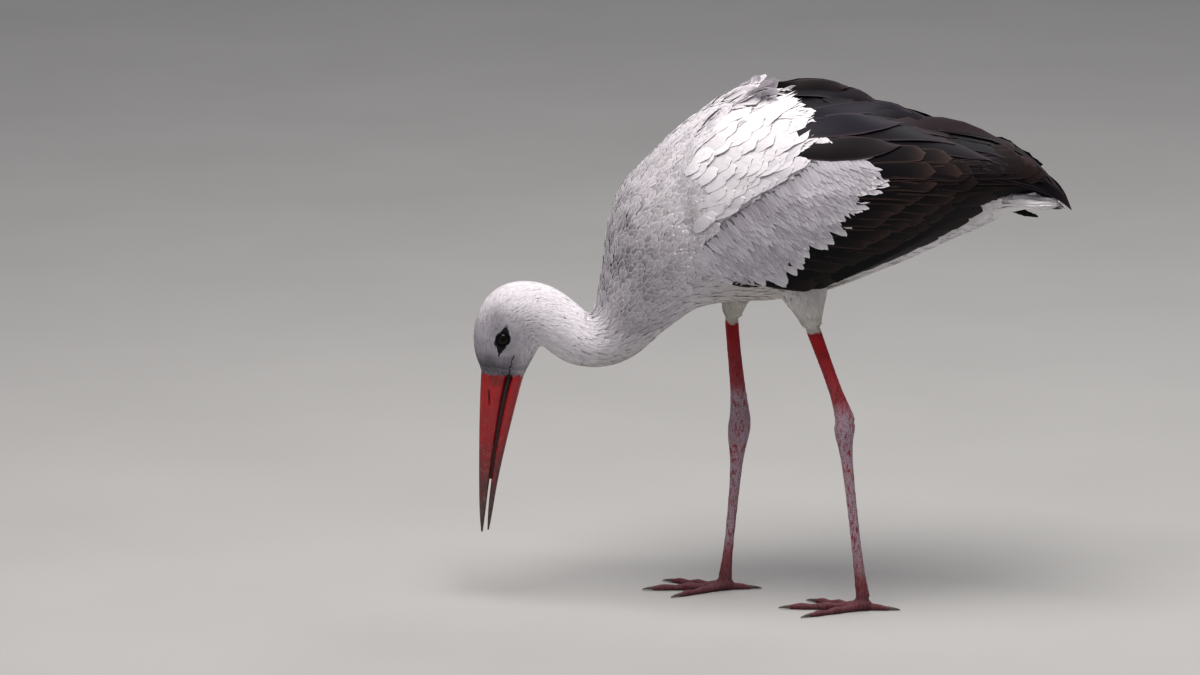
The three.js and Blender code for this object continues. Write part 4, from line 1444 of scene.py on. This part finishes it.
@dataclass
class Wing:
    """One folded wing: its bed of quills, and the rows of feathers over it."""

    bird: Bird
    side: str
    steps: int = 10
    roll: float = 0.03  # how far a vane's outer edge stands over its inner one, as a share of the width
    slide: float = 0.25  # how far a feather may sit off its place in the row, in places
    scatter_mm: float = 1.4  # how unevenly the tips end
    width_range: Pair = (0.94, 1.06)
    tone_spread: float = 0.05
    steepest: float = 0.3  # how little a white vane may face sideways before it is left to the ridge

    def __post_init__(self) -> None:
        """Start this wing's own source of chance."""
        self.sign = SIDES[self.side]
        self.rng = np.random.default_rng(70 + self.sign)

    def name(self, part: str) -> str:
        """Return the full name of a part of this wing."""
        return f"wing_{self.side}_{part}"

    def lay(self, part: str, rows: Sequence[Row], form: VaneForm, black: bool = False) -> bpy.types.Object:
        """Lay rows of feathers on the wing as one piece.

        Args:
            part: The piece's name, without the wing's.
            rows: The rows, the lowest first.
            form: The shape of the feathers.
            black: Whether they are the large black ones.

        Returns:
            The finished piece.
        """
        lines, ups, widths, colours = [], [], [], []
        for row in rows:
            shares = (np.arange(row.count) + 0.5) / row.count
            slides = self.rng.uniform(-self.slide, self.slide, row.count)
            shares = np.clip(shares + slides * row.jitter / row.count, 0, 1)
            starts = along_line(row.roots, shares)
            ends = along_line(row.tips, shares)
            ends = ends + self.rng.normal(0, self.scatter_mm, ends.shape) * row.jitter * MM
            middles = (starts + ends) / 2
            way = unit(ends - starts)
            middles = middles + np.stack([-way[:, 1], way[:, 0]], axis=1) * 2 * row.bow * MM
            share = (np.arange(self.steps + 1) / self.steps)[:, None]
            if row.via:
                middles = np.array(row.via) * MM * np.ones((row.count, 1))
            for start, middle, end in zip(starts, middles, ends):
                flat = start * (1 - share) ** 2 + middle * 2 * share * (1 - share) + end * share ** 2
                places, normals = self.bird.form.drape(flat, self.sign)
                if not black and np.abs(normals[:, 1]).min() < self.steepest:
                    continue  # the vanes along the ridge of the back are a tract of their own
                for _ in range(3):
                    normals[1:-1] = unit(normals[:-2] + 2 * normals[1:-1] + normals[2:])
                    places[1:-1, 1] = (places[:-2, 1] + 2 * places[1:-1, 1] + places[2:, 1]) / 4
                lines.append(places + normals * row.over * MM)
                ups.append(normals)
                widths.append(row.width * MM * self.rng.uniform(*self.width_range))
                colours.append(tint(row.colour) * self.rng.normal(1, self.tone_spread))
        lines, ups = np.array(lines), np.array(ups)
        charts, patch = chart_places(self.bird.spine.chart(lines[:, 0])), SMALL_PATCH
        if black:
            # They are few and large, so each has a wide patch of its own.
            side = math.ceil(math.sqrt(len(lines)))
            charts, patch = grid_places(len(lines)), (0.8 / side, 0.9 / side)
        bundle = Bundle(lines, ups, np.array(widths), np.clip(np.array(colours), 0, 1), charts, patch,
                        self.roll * self.sign)
        return finish_piece(bundle.build(self.name(part), form, self.rng), *(BLACK if black else WHITE))

    def bed(self) -> bpy.types.Object:
        """Make the body of the stacked quills, just under the outermost ones."""
        names = [self.name("secondaries"), self.name("primaries")]
        piece = copy_of(self.name("quill_bed"), [self.bird.nodes[name] for name in names])
        shrink(piece, depth_mm=3.2, voxel_mm=2.3)
        colour_points(piece, "Coat", plain("#08070c", len(piece.data.vertices)))
        side_map(piece, "Vane")
        return finish_piece(piece, *BLACK, *names)

    def quill_rows(self) -> list[Row]:
        """List the black rows, the lowest first."""
        return [
            Row(((70, 470), (120, 512)), ((252, 477), (284, 480), (299, 483), (278, 497), (257, 515)),
                9, 20, "#050509", 3, -1.4, 0.4),
            Row(((110, 548), (160, 534)), ((256, 514), (298, 480)), 2, 24, "#2b2227", 6, -0.6, 0.0),
            Row(((-66, 392), (-10, 396), (60, 444), (100, 500)),
                ((36, 371), (94, 379), (140, 396), (184, 417), (222, 439), (242, 461), (258, 486)),
                13, 23, "#050509", -3, -0.8, 0.4),
            Row(((-40, 412), (30, 432), (80, 470), (110, 512)),
                ((70, 392), (120, 408), (166, 432), (202, 458), (220, 480), (214, 505)),
                12, 23, "#07060b", 2, -0.3, 0.8),
            Row(((20, 425), (60, 452), (84, 480), (96, 512)),
                ((98, 418), (132, 434), (172, 452), (202, 472), (206, 492), (190, 508)),
                11, 22, "#0b090e", 3, 0.1),
            Row(((40, 445), (66, 472), (84, 496), (90, 514)),
                ((112, 444), (146, 462), (172, 480), (172, 500), (160, 516)),
                8, 20, "#0d0a0f", 3, 0.4),
        # Painted shade: dark in the nostril slits and over the mouth lining.
        ]

    def tertial_rows(self) -> list[Row]:
        """List the long glossy feathers over the rump, the lowest first."""
        return [
            Row(((180, 492), (190, 500)), ((326, 442), (319, 452)), 2, 15, "#050509", 0, -0.6, 0.0,
                (298, 492)),
            Row(((70, 532),), ((234, 504),), 1, 30, "#0a0910", 8, -0.2, 0),
            Row(((40, 541),), ((196, 519),), 1, 30, "#0d0b12", 9, 0.4, 0),
            Row(((10, 566),), ((196, 526),), 1, 26, "#110e16", 10, 0.0, 0),
            Row(((-4, 572),), ((112, 560),), 1, 24, "#120f17", 8, 0.3, 0),
            Row(((0, 576),), ((80, 577),), 1, 20, "#100a0c", 1, -0.4, 0),
            Row(((24, 556),), ((150, 548),), 1, 24, "#15111e", 7, 0.7, 0),
            Row(((20, 521),), ((136, 523),), 1, 27, "#150f13", 2, 1.5, 0),
            Row(((22, 540),), ((140, 540),), 1, 30, "#15111e", 7, 1.9, 0),
        ]

    def scapular_rows(self) -> list[Row]:
        """List the broad white feathers of the shoulder, the rearmost first."""
        rows = []
        for number in range(7):
            back = number * 19.0
            lean = math.radians(22 + number * 3)
            shift = (-back * math.cos(lean), -back * math.sin(lean) * 0.95)
            tips = tuple((x + shift[0] - 4, z + shift[1] + 2) for x, z in SCAPULAR_TIPS)
            long = 46 - number * 3.5
            roots = tuple((x - long * math.cos(lean), z - long * math.sin(lean) * 0.9) for x, z in tips)
            rows.append(Row(roots, tips, 6 + number // 2, 27 - number * 2.2, "#e9e6eb", 2,
                            0.6 + number * 0.08, 1.2))
        low = tuple((x + 6, z + 7) for x, z in GROOVE[3:-1])
        for number, (count, width) in enumerate(((10, 15), (10, 13))):
            tips = tuple((x - 4 - number * 9, z + number * 9) for x, z in low)
            roots = tuple((x - 34, z - 19 + number * 6) for x, z in tips)
            rows.append(Row(roots, tips, count, width, "#dcd8e0", 3, 1.0 - number * 0.2, 1.6))
        return rows

    def covert_rows(self) -> list[Row]:
        """List the long lobed white coverts at the lower edge of the white, and the strip along its top."""
        rows = [Row(((44, 509),), ((112, 519),), 1, 13, "#85858f", 1, 0.6, 0)]
        for number in range(2):
            start = 0.15 * number
            tips, roots = (tuple((x + (u - x) * share, z + (w - z) * share)
                                 for (x, z), (u, w) in zip(LOWER_TIPS, UPPER_ROOTS))
                           for share in (start, start + 0.62))
            rows.append(Row(roots, tips, 26 - number, 14 - number, "#cdcad4", 2, 0.1 + number * 0.25, 1.8))
        return rows

    def field(self) -> Tract:
        """Describe the small coverts between the groove and the long ones."""
        form = VaneForm(Outline.LANCE, 5, 4, 0.12, 0.02, 0.2, 1.0, 0.12, 0.8, edge_share=0.35)

        def tone(places: Array) -> Array:
            """Return the white of the coverts with its dusty grey blotches."""
            return glaze(plain("#d2ced8", len(places)), (
                ("#9a95a0", ease(0.35, 0.8, mottle(places, 22, 31)) * 0.6),
                ("#8f8690", ease(0.55, 0.8, mottle(places, 7, 33)) * 0.5)))

        def grows(places: Array) -> Array:
            """Tell which places on this wing have room for a small covert from root to tip."""
            covert = inside(COVERT_FIELD, places) & inside(COVERT_FIELD, moved(places, 20, 0, -21))
            return covert & (places[:, 1] * self.sign > 5 * MM)

        return Tract(self.name("small_coverts"), (self.name("coverts"), self.name("secondaries")),
                     3.7, 22, 6.6, form, 4, 0.13, grows, None, steady(0.69, 0, -0.72), tone)

    def rump_quills(self, form: VaneForm) -> bpy.types.Object:
        """Lay the innermost long quills, which meet those of the other wing flat over the tail."""
        share = (np.arange(self.steps + 1) / self.steps)[:, None]
        lines, ups = [], []
        # Their heights follow the tops of the folded wings, which fall away behind the rump.
        for number in range(4):
            run = (1 - share) * 184 + share * (314 - 5 * number)
            apart = 5 + (9 - 2 * share) * number
            fall = (run - 186) / 126
            height = 531 - number - 12 * fall - 55 * fall ** 3 - 0.18 * apart
            lines.append(np.hstack([run, apart * self.sign, height]) * MM)
            up = unit(np.array([[0.42, self.sign * 0.12 * number, 0.9]]))
            ups.append(np.tile(up, (self.steps + 1, 1)))
        bundle = Bundle(np.array(lines), np.array(ups), np.full(4, 23 * MM), plain("#09080e", 4),
                        grid_places(4), (0.4, 0.44))
        return finish_piece(bundle.build(self.name("rump_quills"), form, self.rng), *BLACK)

    def ridge(self, form: VaneForm) -> Tract:
        """Describe the dark feathers on the inner slope of the wing, along the rump."""
        def tone(places: Array) -> Array:
            """Return near black, with a worn brown field on the right wing."""
            worn = ease(120, 150, places[:, 0] / MM) * (1 - ease(225, 255, places[:, 0] / MM))
            return glaze(plain("#0d0b12", len(places)), (("#2b2227", worn * (self.sign > 0)),))

        def grows(places: Array) -> Array:
            """Tell which places lie on the upper inner slope of the wing.

            Args:
                places: Where a feather would be rooted.

            Returns:
                One truth value a place.
            """
            rise = places[:, 2] / MM - np.interp(places[:, 0] / MM, (60, 240, 320), (524, 490, 464))
            apart = places[:, 1] * self.sign / MM
            run = (places[:, 0] > 50 * MM) & (places[:, 0] / MM < np.where(apart < 34, 196, 282))
            return run & (apart < 50) & (rise > 0)

        return Tract(self.name("ridge"), (self.name("secondaries"), self.name("primaries")),
                     10, 46, 18, form, 8, 0.06, grows, lambda p: 1 - 0.5 * ease(190, 270, p[:, 0] / MM),
                     steady(0.9, 0, -0.4), tone, black=True, held=True)

    def build(self, plumage: Plumage) -> None:
        """Build the whole wing."""
        self.bed()
        quill = VaneForm(Outline.QUILL, 7, 9, 0.35, 0.03, 0.9, 0.2, 0.04, 0.9, "#54433f", 0.32)
        tertial = VaneForm(Outline.LEAF, 7, 12, 0.35, 0.05, 0.9, 0.3, 0.02, 0.92, "#63545c", 0.32)
        broad = VaneForm(Outline.ROUND, 9, 9, 0.15, 0.01, 0.6, 0.25, 0.05, 0.9, edge_share=0.4)
        lobed = VaneForm(Outline.ROUND, 9, 9, 0.15, 0.01, 0.9, 0.2, 0.1, 0.88, edge_share=0.5)
        spiky = VaneForm(Outline.LANCE, 5, 7, 0.15, 0.02, 0.8, 0.4, 0.04, 0.92, edge_share=0.4)
        slope = VaneForm(Outline.LEAF, 7, 9, 0.3, 0.03, 2.2, -0.9, 0.03, 0.9, "#6b5a5c", 0.3)
        fringed = replace(quill, edge="#6b554d", edge_share=0.34)
        alula = Row(((-104, 392), (-96, 385)), ((-30, 369), (-12, 365)), 3, 10, "#0d0c12", -1, 0.2, 0.5)
        fringe = Row(tuple((x - 36, z - 13) for x, z in SCAPULAR_TIPS),
                     tuple((x + 2, z) for x, z in SCAPULAR_TIPS), 30, 6, "#ece9ee", 1, 0.5, 1.5)
        plumage.grow(self.ridge(slope))
        self.rump_quills(quill)
        self.lay("quills", self.quill_rows()[:4], quill, black=True)
        self.lay("dark_coverts", self.quill_rows()[4:], fringed, black=True)
        self.lay("tertials", self.tertial_rows(), tertial, black=True)
        self.lay("alula", [alula], quill, black=True)
        self.lay("long_coverts", self.covert_rows(), lobed)
        plumage.grow(self.field())
        self.lay("scapular_fringe", [fringe], spiky)
        self.lay("scapulars", self.scapular_rows(), broad)


def drop_crumbs(piece: bpy.types.Object) -> None:
    """Remove the small loose bits that a voxel remesh leaves at thin tips."""
    with editing(piece) as work:
        seen: set[bmesh.types.BMVert] = set()
        crumbs = []
        for start in work.verts:
            if start in seen:
                continue
            island, waiting = [], [start]
            seen.add(start)
            while waiting:
                vert = waiting.pop()
                island.append(vert)
                for other in (edge.other_vert(vert) for edge in vert.link_edges):
                    if other not in seen:
                        seen.add(other)
                        waiting.append(other)
            if len(island) < CRUMB_SIZE:
                crumbs.extend(island)
        bmesh.ops.delete(work, geom=crumbs, context="VERTS")


def shrink(piece: bpy.types.Object, depth_mm: float, voxel_mm: float) -> None:
    """Remesh a piece evenly and draw it in, at most a third of the way through where it is thin.

    Args:
        piece: The piece.
        depth_mm: How far in.
        voxel_mm: How fine the new mesh is.
    """
    modify(piece, "REMESH", mode="VOXEL", voxel_size=voxel_mm * MM)
    drop_crumbs(piece)
    edges = edges_of(piece)
    places = blur(points_of(piece), edges, 2)
    put_points(piece, places)
    depth = blur(np.minimum(depth_mm * MM, wall_behind(piece, places, 0.2) * 0.33), edges, 4)
    put_points(piece, places - normals_of(piece) * depth[:, None])
    shade_smooth(piece, 180)


def side_map(piece: bpy.types.Object, name: str) -> None:
    """Give a piece a flat map in centimetres, as seen from its side."""
    layer = piece.data.uv_layers.new(name=name)
    corners = read(piece.data.loops, "vertex_index", 1, np.int32)[:, 0]
    flat = points_of(piece)[corners][:, (2, 0)] * 100
    layer.data.foreach_set("uv", flat.astype(np.float32).ravel())


@dataclass
class Tail:
    """The short white tail: a body of stacked feathers with its quills and coverts laid over it."""

    bird: Bird
    quills: int = 12
    fan_mm: float = 34.0  # half the width of the fan at the tips
    width_range: Pair = (13, 15)  # of a quill, in millimetres
    stripe_share: float = 0.55  # how wide the outermost quills are beside the others

    def build(self) -> None:
        """Build the tail's body, its quills on both faces and the coverts at its root."""
        self.bed()
        rng = np.random.default_rng(90)
        # The quills' grey edges are painted shade, the dark lines where each lies under the next.
        quill = VaneForm(Outline.QUILL, 7, 8, 0.3, 0.05, 0.8, 0.4, 0.03, 0.85, "#a19ca5", 0.7)
        soft = VaneForm(Outline.ROUND, 5, 5, 0.15, 0.02, 1.4, 0.3, 0.08, 0.84, edge_share=0.4)
        stripes, broad = self.stripes(), self.faces()
        lines, ups = (np.array(first + second) for first, second in zip(stripes, broad))
        widths = rng.uniform(*self.width_range, len(lines)) * MM
        widths[:len(stripes[0])] *= self.stripe_share
        count = len(lines)
        bundle = Bundle(lines, ups, widths, plain("#fbf9fb", count), grid_places(count), (0.13, 0.15))
        finish_piece(bundle.build("tail_quills", quill, rng), *WHITE)
        Plumage(self.bird).grow(Tract("tail_coverts", ("tail",), 6.5, 30, 12, soft, 5, 0.08,
                                      lambda p: p[:, 0] < 222 * MM))

    def bed(self) -> bpy.types.Object:
        """Make the body of the stacked quills, just under the outermost ones."""
        piece = copy_of("tail_bed", [self.bird.nodes["tail"]])
        shrink(piece, depth_mm=1.4, voxel_mm=1.9)
        # The body is painted grey: painted shade between the stacked quills.
        colour_points(piece, "Coat", plain("#c9c6c8", len(piece.data.vertices)))
        side_map(piece, "Vane")
        return finish_piece(piece, *WHITE, "tail")

    def stripes(self) -> tuple[list[Array], list[Array]]:
        """Lay out the outermost quills, long stripes on the tail's edge, one over the other.

        Returns:
            The mid lines and the normals along them.
        """
        lines, ups = [], []
        steps = (np.arange(11) / 10)[:, None]
        for side in SIDES.values():
            for number in range(4):
                root = np.array([244 + 5 * number, 446 + 5 * number])
                tip = np.array([312 - number, 448.5 + 2.2 * number])
                line, up = self.bird.form.drape((root * (1 - steps) + tip * steps) * MM, side)
                lines.append(line)
                ups.append(up)
        return lines, ups

    def faces(self) -> tuple[list[Array], list[Array]]:
        """Lay out the quills on the upper and the lower face of the tail, spread as a narrow fan.

        Returns:
            The mid lines and the normals along them.
        """
        lines, ups = [], []
        for face in (1, -1):
            for number in range(self.quills):
                share = (number + 0.5) / self.quills * 2 - 1
                root = np.array([206 + 4 * abs(share), share * 24, 460 + face * 22])
                tip = np.array([313 + 3 * (1 - share * share), share * self.fan_mm * 1.02, 449 + face * 2])
                length = np.array([np.linalg.norm(tip - root)]) * MM
                line, up = self.bird.form.march(root[None] * MM, unit(tip - root)[None], length, 10)
                lines.append(line[0] + up[0] * (0.3 * (1 - abs(share))) * MM)
                ups.append(up[0])
        return lines, ups


# ------------------------------------------------------------------ bill, eyes and claws

@dataclass
class Bill:
    """The long straight dagger of a bill: two halves that meet along the cutting edges."""

    bird: Bird
    nostril_mm: Triple = (-313.0, 232.0, 9.5)  # x, middle height, half length

    def build(self) -> None:
        """Build the upper and the lower half."""
        self.lining()
        for name in ("bill_upper", "bill_lower"):
            piece = copy_of(f"{name}_horn", [self.bird.nodes[name]])
            self.round_off(piece)
            light = np.ones(len(piece.data.vertices))
            if name == "bill_upper":
                self.refine_nostrils(piece)
                light = self.open_nostrils(piece)
            # Mark carries the painted shade of the nostril slits.
            colour_points(piece, "Mark", light[:, None] * np.ones((1, 3)))
            shade_smooth(piece, 60)
            finish_piece(piece, BILL_HORN, "bill_horn", name)

    @staticmethod
    def round_off(piece: bpy.types.Object) -> None:
        """Refine the horn with its cutting edges and ends kept sharp."""
        with editing(piece) as work:
            bmesh.ops.recalc_face_normals(work, faces=work.faces)
            sharp = [edge.calc_face_angle(0.0) > math.radians(38) for edge in work.edges]
        crease = piece.data.attributes.new("crease_edge", "FLOAT", "EDGE")
        crease.data.foreach_set("value", np.array(sharp, dtype=np.float32))
        modify(piece, "SUBSURF", levels=2, render_levels=2)

    def refine_nostrils(self, piece: bpy.types.Object) -> None:
        """Cut the edges round the nostrils twice, so that the slits have room."""
        middle, height, half = self.nostril_mm
        for reach in (6.0, 4.0):
            with editing(piece) as work:
                chosen = [edge for edge in work.edges
                          if all(abs(vert.co.x / MM - middle) < reach and abs(vert.co.y) > 3 * MM
                                 and abs(vert.co.z / MM - height) < half + reach for vert in edge.verts)]
                bmesh.ops.subdivide_edges(work, edges=chosen, cuts=2, use_grid_fill=True)

    def lining(self) -> bpy.types.Object:
        """Close the mouth between the halves, from the root to half way down, with a lining in painted shade.
        """
        # Each station has its height, its front and back edge, and half its width, in millimetres.
        stations = ((262, -291.0, -287.0, 8.0), (240, -297.0, -291.5, 7.0), (205, -303.5, -298.8, 5.4),
                    (165, -309.6, -306.0, 3.6), (138, -312.9, -310.6, 1.2))
        bpy.ops.mesh.primitive_cylinder_add(vertices=12, radius=1, depth=1, location=(0, 0, 0))
        piece = bpy.context.active_object
        piece.name = "mouth_lining"
        bpy.ops.object.mode_set(mode="EDIT")
        bpy.ops.mesh.select_all(action="DESELECT")
        bpy.ops.object.mode_set(mode="OBJECT")
        for edge in piece.data.edges:
            ends = [piece.data.vertices[number].co.z for number in edge.vertices]
            edge.select = abs(ends[0] - ends[1]) > 0.5
        bpy.ops.object.mode_set(mode="EDIT")
        bpy.ops.mesh.subdivide(number_cuts=len(stations) * 4 - 1)
        bpy.ops.object.mode_set(mode="OBJECT")
        places = points_of(piece)
        top, low = stations[0][0], stations[-1][0]
        heights = top - (0.5 - places[:, 2]) * (top - low)
        table = np.array(stations[::-1])
        front, back, half = (np.interp(heights, table[:, 0], table[:, column]) for column in (1, 2, 3))
        across = (front + back) / 2 + (back - front) * 0.9 * places[:, 0]
        fresh = np.stack([across, half * places[:, 1], heights], axis=1)
        put_points(piece, fresh * MM)
        # Painted shade: the lining is near black, as the inside of the mouth lies in shade.
        colour_points(piece, "Mark", np.tile([0.03, 0.012, 0.016], (len(places), 1)))
        shade_smooth(piece, 60)
        return finish_piece(piece, BILL_HORN, "bill_horn")

    def open_nostrils(self, piece: bpy.types.Object) -> Array:
        """Press a long slit into each side of the upper half.

        Args:
            piece: The upper half.

        Returns:
            The light left at each vertex, low inside the slits as painted shade.
        """
        places = points_of(piece)
        x, z, flank = places[:, 0] / MM, places[:, 2] / MM, np.abs(places[:, 1]) / MM
        middle, height, half = self.nostril_mm
        slant = middle + (z - height) * -0.03
        share = np.clip(1 - ((z - height) / half) ** 2, 0, 1)
        slit = np.exp(-((x - slant) / 0.8) ** 4) * np.sqrt(share) * (flank > 2)
        groove = np.exp(-((x - slant) / 1.6) ** 2) * (flank > 2)
        groove = groove * ease(120, 200, z) * (1 - ease(240, 256, z)) * 0.25
        places[:, 1] -= np.sign(places[:, 1]) * (1.5 * slit + 0.5 * groove) * MM
        put_points(piece, places)
        # Painted shade: each slit is dark inside.
        return 1 - 0.95 * slit


@dataclass
class Eye:
    """One eye: a dark ball with a domed cornea, deep in its socket."""

    side: str
    radius_mm: float = BALL_MM
    iris_mm: float = 5.4
    pupil_mm: float = 2.7

    def build(self) -> None:
        """Build the ball with its pole at the middle of the pupil."""
        low, high = (np.array(corner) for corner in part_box(f"eye_{self.side}"))
        centre = (low + high) / 2
        select_only()
        bpy.ops.mesh.primitive_uv_sphere_add(segments=48, ring_count=32, radius=self.radius_mm * MM)
        piece = bpy.context.active_object
        piece.name = f"eyeball_{self.side}"
        places = points_of(piece)
        off_axis = np.hypot(places[:, 0], places[:, 1]) / MM
        front = places[:, 2] > 0
        places[:, 2] += 0.45 * MM * np.clip(1 - (off_axis / self.iris_mm) ** 2, 0, 1) * front
        tone = glaze(plain("#07060b", len(places)), (
            ("#170e0b", front * (1 - ease(self.iris_mm - 0.6, self.iris_mm, off_axis))),
            ("#020203", front * (1 - ease(self.pupil_mm - 0.2, self.pupil_mm + 0.2, off_axis)))))
        sign = SIDES[self.side]
        turned = np.stack([places[:, 0] * -sign, places[:, 2] * sign, places[:, 1]], axis=1)
        put_points(piece, turned + centre)
        colour_points(piece, "Iris", tone)
        shade_smooth(piece, 180)
        finish_piece(piece, WET_EYE, "eye", f"eye_{self.side}")


@dataclass
class Claws:
    """The blunt nails at the ends of the toes."""

    bird: Bird
    seat_mm: float = 4.0

    def build(self) -> None:
        """Build each nail from its solid, rounded off."""
        for side in SIDES:
            for toe in ("hind", "inner", "middle", "outer"):
                name = f"claw_{side}_{toe}"
                piece = copy_of(f"nail_{side}_{toe}", [self.bird.nodes[name]])
                self.seat(piece, side)
                modify(piece, "SUBSURF", levels=1, render_levels=1)
                shade_smooth(piece, 60)
                finish_piece(piece, CLAW_HORN, "claw_horn", name)

    def seat(self, piece: bpy.types.Object, side: str) -> None:
        """Push the nail's root back into the end of the toe."""
        low, high = (np.array(corner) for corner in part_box(f"tarsus_{side}"))
        heel = np.array([(low[0] + high[0]) / 2, (low[1] + high[1]) / 2, 0])
        places = points_of(piece)
        way = unit(places.mean(axis=0) * [1, 1, 0] - heel)
        run = places @ way
        share = (run - run.min()) / (run.max() - run.min())
        places -= way * (self.seat_mm * MM) * (1 - ease(0.1, 0.5, share))[:, None]
        put_points(piece, places)


# ------------------------------------------------------------------ studio

@dataclass
class Studio:
    """The plain floor, the soft lights and the camera."""

    aim_mm: Triple = (-190.9, 0.0, 297.4)
    distance_m: float = 7.0
    tilt_deg: float = 12.0
    lens_mm: float = 190.9  # one pixel of a frame 1200 wide covers 1.1 mm at the bird

    def build(self) -> None:
        """Set up camera, floor, lights and world."""
        self.camera()
        self.floor()
        self.light("key", (-0.3, -0.8, 3.1), 1.8, 122.0, "#fffaf6")
        self.light("fill", (-2.4, -2.8, 1.3), 2.4, 6.0, "#eeeaff")
        self.light("backdrop", (0.0, 4.5, 4.2), 4.5, 50.0, "#ffffff")
        self.light("rim", (1.4, 1.6, 2.6), 1.6, 20.0, "#ffffff")
        world = bpy.data.worlds.new("studio air")
        world.use_nodes = True
        air = world.node_tree.nodes["Background"]
        air.inputs["Color"].default_value = linear("#e9e5f0")
        air.inputs["Strength"].default_value = 0.24
        scene = bpy.context.scene
        scene.world = world
        scene.view_settings.view_transform = "Standard"

    def camera(self) -> None:
        """Place the camera on the bird's left, looking along +Y and a little down."""
        data = bpy.data.cameras.new("camera")
        data.lens = self.lens_mm
        data.sensor_width = 36
        data.clip_end = 60
        camera = new_object("camera", data)
        tilt = math.radians(self.tilt_deg)
        aim = Vector(self.aim_mm) * MM
        camera.location = aim + Vector((0, -math.cos(tilt), math.sin(tilt))) * self.distance_m
        camera.rotation_euler = (math.pi / 2 - tilt, 0, 0)
        bpy.context.scene.camera = camera

    def floor(self) -> None:
        """Lay the studio floor."""
        select_only()
        bpy.ops.mesh.primitive_plane_add(size=24)
        floor = bpy.context.active_object
        floor.name = "studio_floor"
        floor.data.materials.append(PAPER.material())

    def light(self, name: str, place: Triple, size: float, watts: float, code: str) -> None:
        """Hang one soft lamp aimed at the bird.

        Args:
            name: The lamp's name.
            place: Where it hangs.
            size: The side of its square face, in metres.
            watts: Its power.
            code: Its colour.
        """
        data = bpy.data.lights.new(name, "AREA")
        data.size = size
        data.energy = watts
        data.color = linear(code)[:3]
        lamp = new_object(name, data)
        lamp.location = place
        aim = Vector((0, 0, 0.35)) - Vector(place)
        lamp.rotation_euler = aim.to_track_quat("-Z", "Y").to_euler()


def main() -> None:
    """Build the stork piece by piece."""
    logging.basicConfig(level=logging.INFO, format="%(name)s: %(message)s", stream=sys.stdout)
    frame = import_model()
    Studio().build()
    bird = Bird(frame)
    Skin(bird).build()
    plumage = Plumage(bird)
    for tract in plumage.head_and_neck() + plumage.trunk():
        plumage.grow(tract)
    for side in SIDES:
        Wing(bird, side).build(plumage)
        Eye(side).build()
    Tail(bird).build()
    Bill(bird).build()
    Claws(bird).build()


if __name__ == "__main__":
    main()
